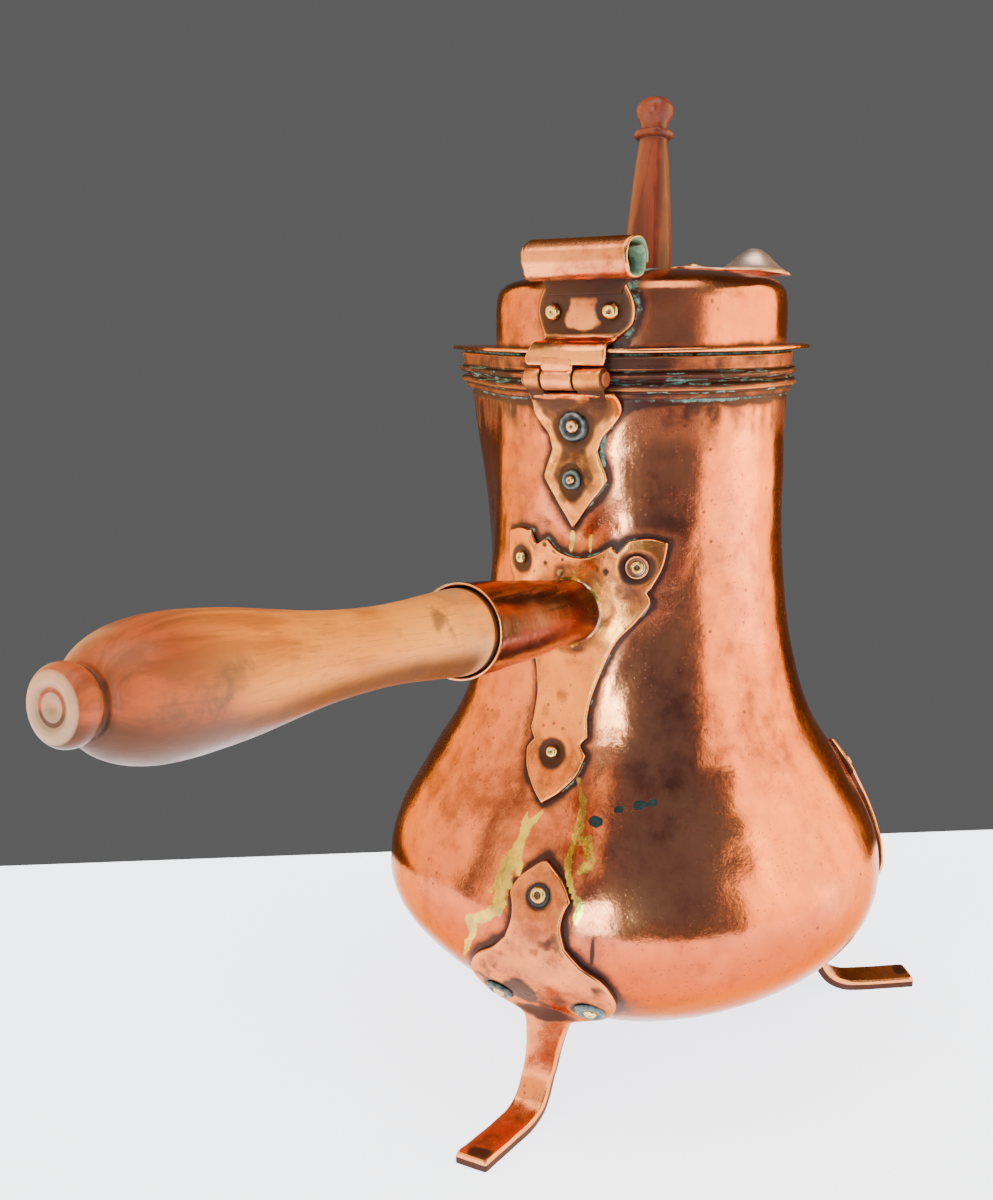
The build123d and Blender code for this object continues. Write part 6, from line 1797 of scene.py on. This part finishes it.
def build_stirrer():
    knob = cr_path([(0.0, 0.0), (2.6, 0.45), (4.7, 1.6), (6.1, 3.2), (6.55, 4.8), (6.2, 6.7), (5.2, 8.7), (4.6, 10.3), (4.85, 11.7)], 6)
    ring = cr_path([(4.85, 11.7), (6.3, 11.95), (6.9, 12.6), (6.95, 13.1), (6.85, 13.7), (6.2, 14.3), (4.9, 14.65)], 4)
    shaft = cr_path([(4.9, 14.65), (5.55, 20.0), (6.6, 30.0), (8.0, 48.4), (8.55, 60.0), (8.7, 74.0), (8.3, 95.0), (7.2, 130.0), (6.2, 200.0),
                     (5.6, SLEN - 50.0), (5.6, SLEN - 44.3)], 10)
    prof = np.concatenate([knob[:-1], ring[:-1], shaft, [(3.6, SLEN - 44.2), (3.4, SLEN - 44.2), (3.4, SLEN - 12.2), (0.0, SLEN - 12.2)]])
    prof[:, 1] = SLEN - prof[:, 1]
    s = SLEN - prof[:, 1]
    dk = 0.8 * np.exp(-((s - 11.9) / 0.5) ** 2) + 0.7 * np.exp(-((s - 14.6) / 0.6) ** 2)
    dk = dk + 0.5 * smooth(s, 55, 75)

    def wob(r, ss, th):
        q = np.stack([r * np.cos(th), r * np.sin(th), ss], -1)
        return r * (1 - 0.004 * (1 + vnoise(q, 12.0, 241))), ss
    p = Part()
    turned(p, prof[::-1], SBOT, SD, 64, wob=wob, m_dark=np.clip(dk[::-1], 0, 1))
    p.obj("stirrer_rod_turned", M_STIR, "stirrer", "stirrer_wood", ["stirrer_rod"])
    # grooved head, turned and then cut
    hp = cr_path([(0.0, 0.0), (3.0, 0.25), (6.0, 2.2), (7.7, 6.3), (8.0, 10.0), (8.0, 34.0), (7.4, 39.0), (6.1, 42.4), (5.7, 43.9)], 10)
    hp = resample(hp, 0.8)
    th = np.linspace(0, 2 * np.pi, 144, endpoint=False)
    rows, dk = [], []
    for r, ss in hp:
        g = smooth(ss, 7.5, 9.5) * smooth(ss, 32.5, 30.5)
        prof_g = np.exp(-((np.abs(((th * 6 / (2 * np.pi)) + 0.5) % 1 - 0.5) / 0.17) ** 4))
        rr = np.maximum(r, 1e-3) - 2.4 * g * prof_g
        x, y, a = axes_of(SD)
        rows.append(SBOT + rr[:, None] * (np.cos(th)[:, None] * x + np.sin(th)[:, None] * y) + ss * a)
        dk.append(0.2 + 0.7 * g * prof_g)
    for r, ss in ((3.7, 43.93), (3.7, 12.0), (0.001, 11.9)):
        x, y, a = axes_of(SD)
        rows.append(SBOT + r * (np.cos(th)[:, None] * x + np.sin(th)[:, None] * y) + ss * a)
        dk.append(np.full(len(th), 0.7))
    p = Part()
    p.grid(np.array(rows), flip=True, m_dark=np.array(dk))
    p.obj("stirrer_head_grooved", M_STIR, "stirrer", "stirrer_wood", ["stirrer_head"])


build_stirrer()


# ---------------------------------------------------------------- carried-over CAD nodes
def finish_node(name, mat, width=0.00025, seg=2):
    o = NODES[name]
    o.data.materials.clear()
    o.data.materials.append(mat)
    for pl in o.data.polygons:
        pl.use_smooth = True
    b = o.modifiers.new("bevel", "BEVEL")
    b.width = width
    b.segments = seg
    b.limit_method = "ANGLE"
    b.angle_limit = math.radians(35)
    b.harden_normals = False


finish_node("hinge_pin", copper("copper_pin", rough=0.3, mottle=0.8, spots=0.8, streaks=0, dark_all=0.35))
finish_node("lid_collar", copper("copper_collar", rough=0.32, mottle=0.8, spots=0.7, streaks=0.2, dark_all=0.25))


# ---------------------------------------------------------------- floor, light, camera
def stage_floor():
    me = bpy.data.meshes.new("floor")
    c = np.array([-0.546, 0.838]) * 0.145
    d, q = np.array([0.838, 0.546]), np.array([0.546, -0.838])
    cor = [c - d * 3.2, c + d * 3.2, c + d * 3.2 + q * 0.88, c - d * 3.2 + q * 0.88]
    vs = [(float(x), float(y), 0.0) for x, y in cor] + [(float(x), float(y), -0.03) for x, y in cor]
    me.from_pydata(vs, [], [(0, 3, 2, 1), (4, 5, 6, 7), (0, 1, 5, 4), (1, 2, 6, 5), (2, 3, 7, 6), (3, 0, 4, 7)])
    o = bpy.data.objects.new("floor", me)
    bpy.context.scene.collection.objects.link(o)
    m = Mat("floor_pale")
    n1 = m.noise(9.0, 5, 0.6)
    col = m.mix(m.rng(n1, 0.35, 0.65), (0.80, 0.785, 0.77), (0.845, 0.83, 0.82))
    m.put(m.b.inputs["Base Color"], col)
    m.b.inputs["Roughness"].default_value = 0.55
    m.put(m.b.inputs["Emission Color"], (0.92, 0.99, 1.16))
    m.b.inputs["Emission Strength"].default_value = 2.9
    me.materials.append(m.m)


stage_floor()


def area(name, az, el, dist, w, h, power, colour=(1, 1, 1), target=(0, 0, 0.16), roll=0.0):
    """Soft panel seen from the object at azimuth az (0 = -Y, 90 = +X) and elevation el."""
    a, e = math.radians(az), math.radians(el)
    d = Vector((math.sin(a) * math.cos(e), -math.cos(a) * math.cos(e), math.sin(e)))
    l = bpy.data.lights.new(name, "AREA")
    l.shape = "RECTANGLE"
    l.size, l.size_y = w, h
    l.energy = power
    l.color = colour
    o = bpy.data.objects.new(name, l)
    o.location = Vector(target) + d * dist
    o.rotation_mode = "QUATERNION"
    o.rotation_quaternion = (-d).to_track_quat("-Z", "Y")
    o.visible_camera = False
    bpy.context.scene.collection.objects.link(o)
    return o


def glow(L, w, h):
    """Power that gives a panel the radiance L."""
    return L * math.pi * w * h


WARM = (1.0, 0.84, 0.30)
area("light_left_a", -85, 14, 1.5, 1.7, 1.55, glow(2.6, 1.7, 1.55), WARM)
area("light_left_b", -22, 15, 1.5, 1.28, 1.60, glow(2.3, 1.28, 1.60), WARM)
area("light_right_a", 82, 2, 1.5, 0.52, 1.10, glow(4.6, 0.52, 1.10), WARM)
area("light_right_b", 121, 12, 1.5, 1.72, 1.60, glow(4.8, 1.72, 1.60), WARM)
area("light_window", 11, 5, 1.42, 0.13, 0.55, glow(40, 0.13, 0.55), (0.50, 0.88, 1.0))
area("light_front_top", -27, 56, 1.5, 0.70, 0.45, glow(5.5, 0.70, 0.45), (1.0, 0.95, 0.75))
area("light_top", 40, 78, 1.6, 1.3, 1.2, glow(5.0, 1.3, 1.2), (1.0, 0.95, 0.80))

w = bpy.data.worlds.new("studio")
w.use_nodes = True
wt = w.node_tree
bg = wt.nodes["Background"]
gen = wt.nodes.new("ShaderNodeTexCoord")
dot = wt.nodes.new("ShaderNodeVectorMath")
dot.operation = "DOT_PRODUCT"
wt.links.new(gen.outputs["Generated"], dot.inputs[0])
dot.inputs[1].default_value = (math.sin(math.radians(22.8)), -math.cos(math.radians(22.8)), 0.0)
mr = wt.nodes.new("ShaderNodeMapRange")
mr.inputs["From Min"].default_value = -0.55
mr.inputs["From Max"].default_value = 0.45
wt.links.new(dot.outputs["Value"], mr.inputs["Value"])
mx = wt.nodes.new("ShaderNodeMix")
mx.data_type = "RGBA"
mx.inputs[6].default_value = (0.115, 0.115, 0.115, 1)
mx.inputs[7].default_value = (0.20, 0.37, 0.70, 1)
wt.links.new(mr.outputs[0], mx.inputs[0])
wt.links.new(mx.outputs[2], bg.inputs[0])
bg.inputs[1].default_value = 1.0
bpy.context.scene.world = w


def camera():
    A = math.radians(22.8)
    pitch, roll, yaw = 0.23589056, -0.01190745, -0.12327147
    right = Vector((math.cos(yaw), -math.sin(yaw), 0))
    fwd = Vector((math.sin(yaw), math.cos(yaw), 0)) * math.cos(pitch) + Vector((0, 0, -math.sin(pitch)))
    up = right.cross(fwd)
    r2 = right * math.cos(roll) + up * math.sin(roll)
    u2 = -right * math.sin(roll) + up * math.cos(roll)
    Rz = Matrix.Rotation(A, 3, "Z")
    r2, u2, f2 = Rz @ r2, Rz @ u2, Rz @ fwd
    cam = bpy.data.cameras.new("camera")
    cam.lens = 34.5
    cam.sensor_width = 36.0
    cam.sensor_fit = "AUTO"
    cam.clip_start, cam.clip_end = 0.01, 50
    o = bpy.data.objects.new("camera", cam)
    m = Matrix.Identity(4)
    for i in range(3):
        m[i][0], m[i][1], m[i][2] = r2[i], u2[i], -f2[i]
    m[0][3], m[1][3], m[2][3] = 0.167384, -0.398192, 0.274511
    o.matrix_world = m
    bpy.context.scene.collection.objects.link(o)
    bpy.context.scene.camera = o


camera()

bpy.context.view_layer.update()
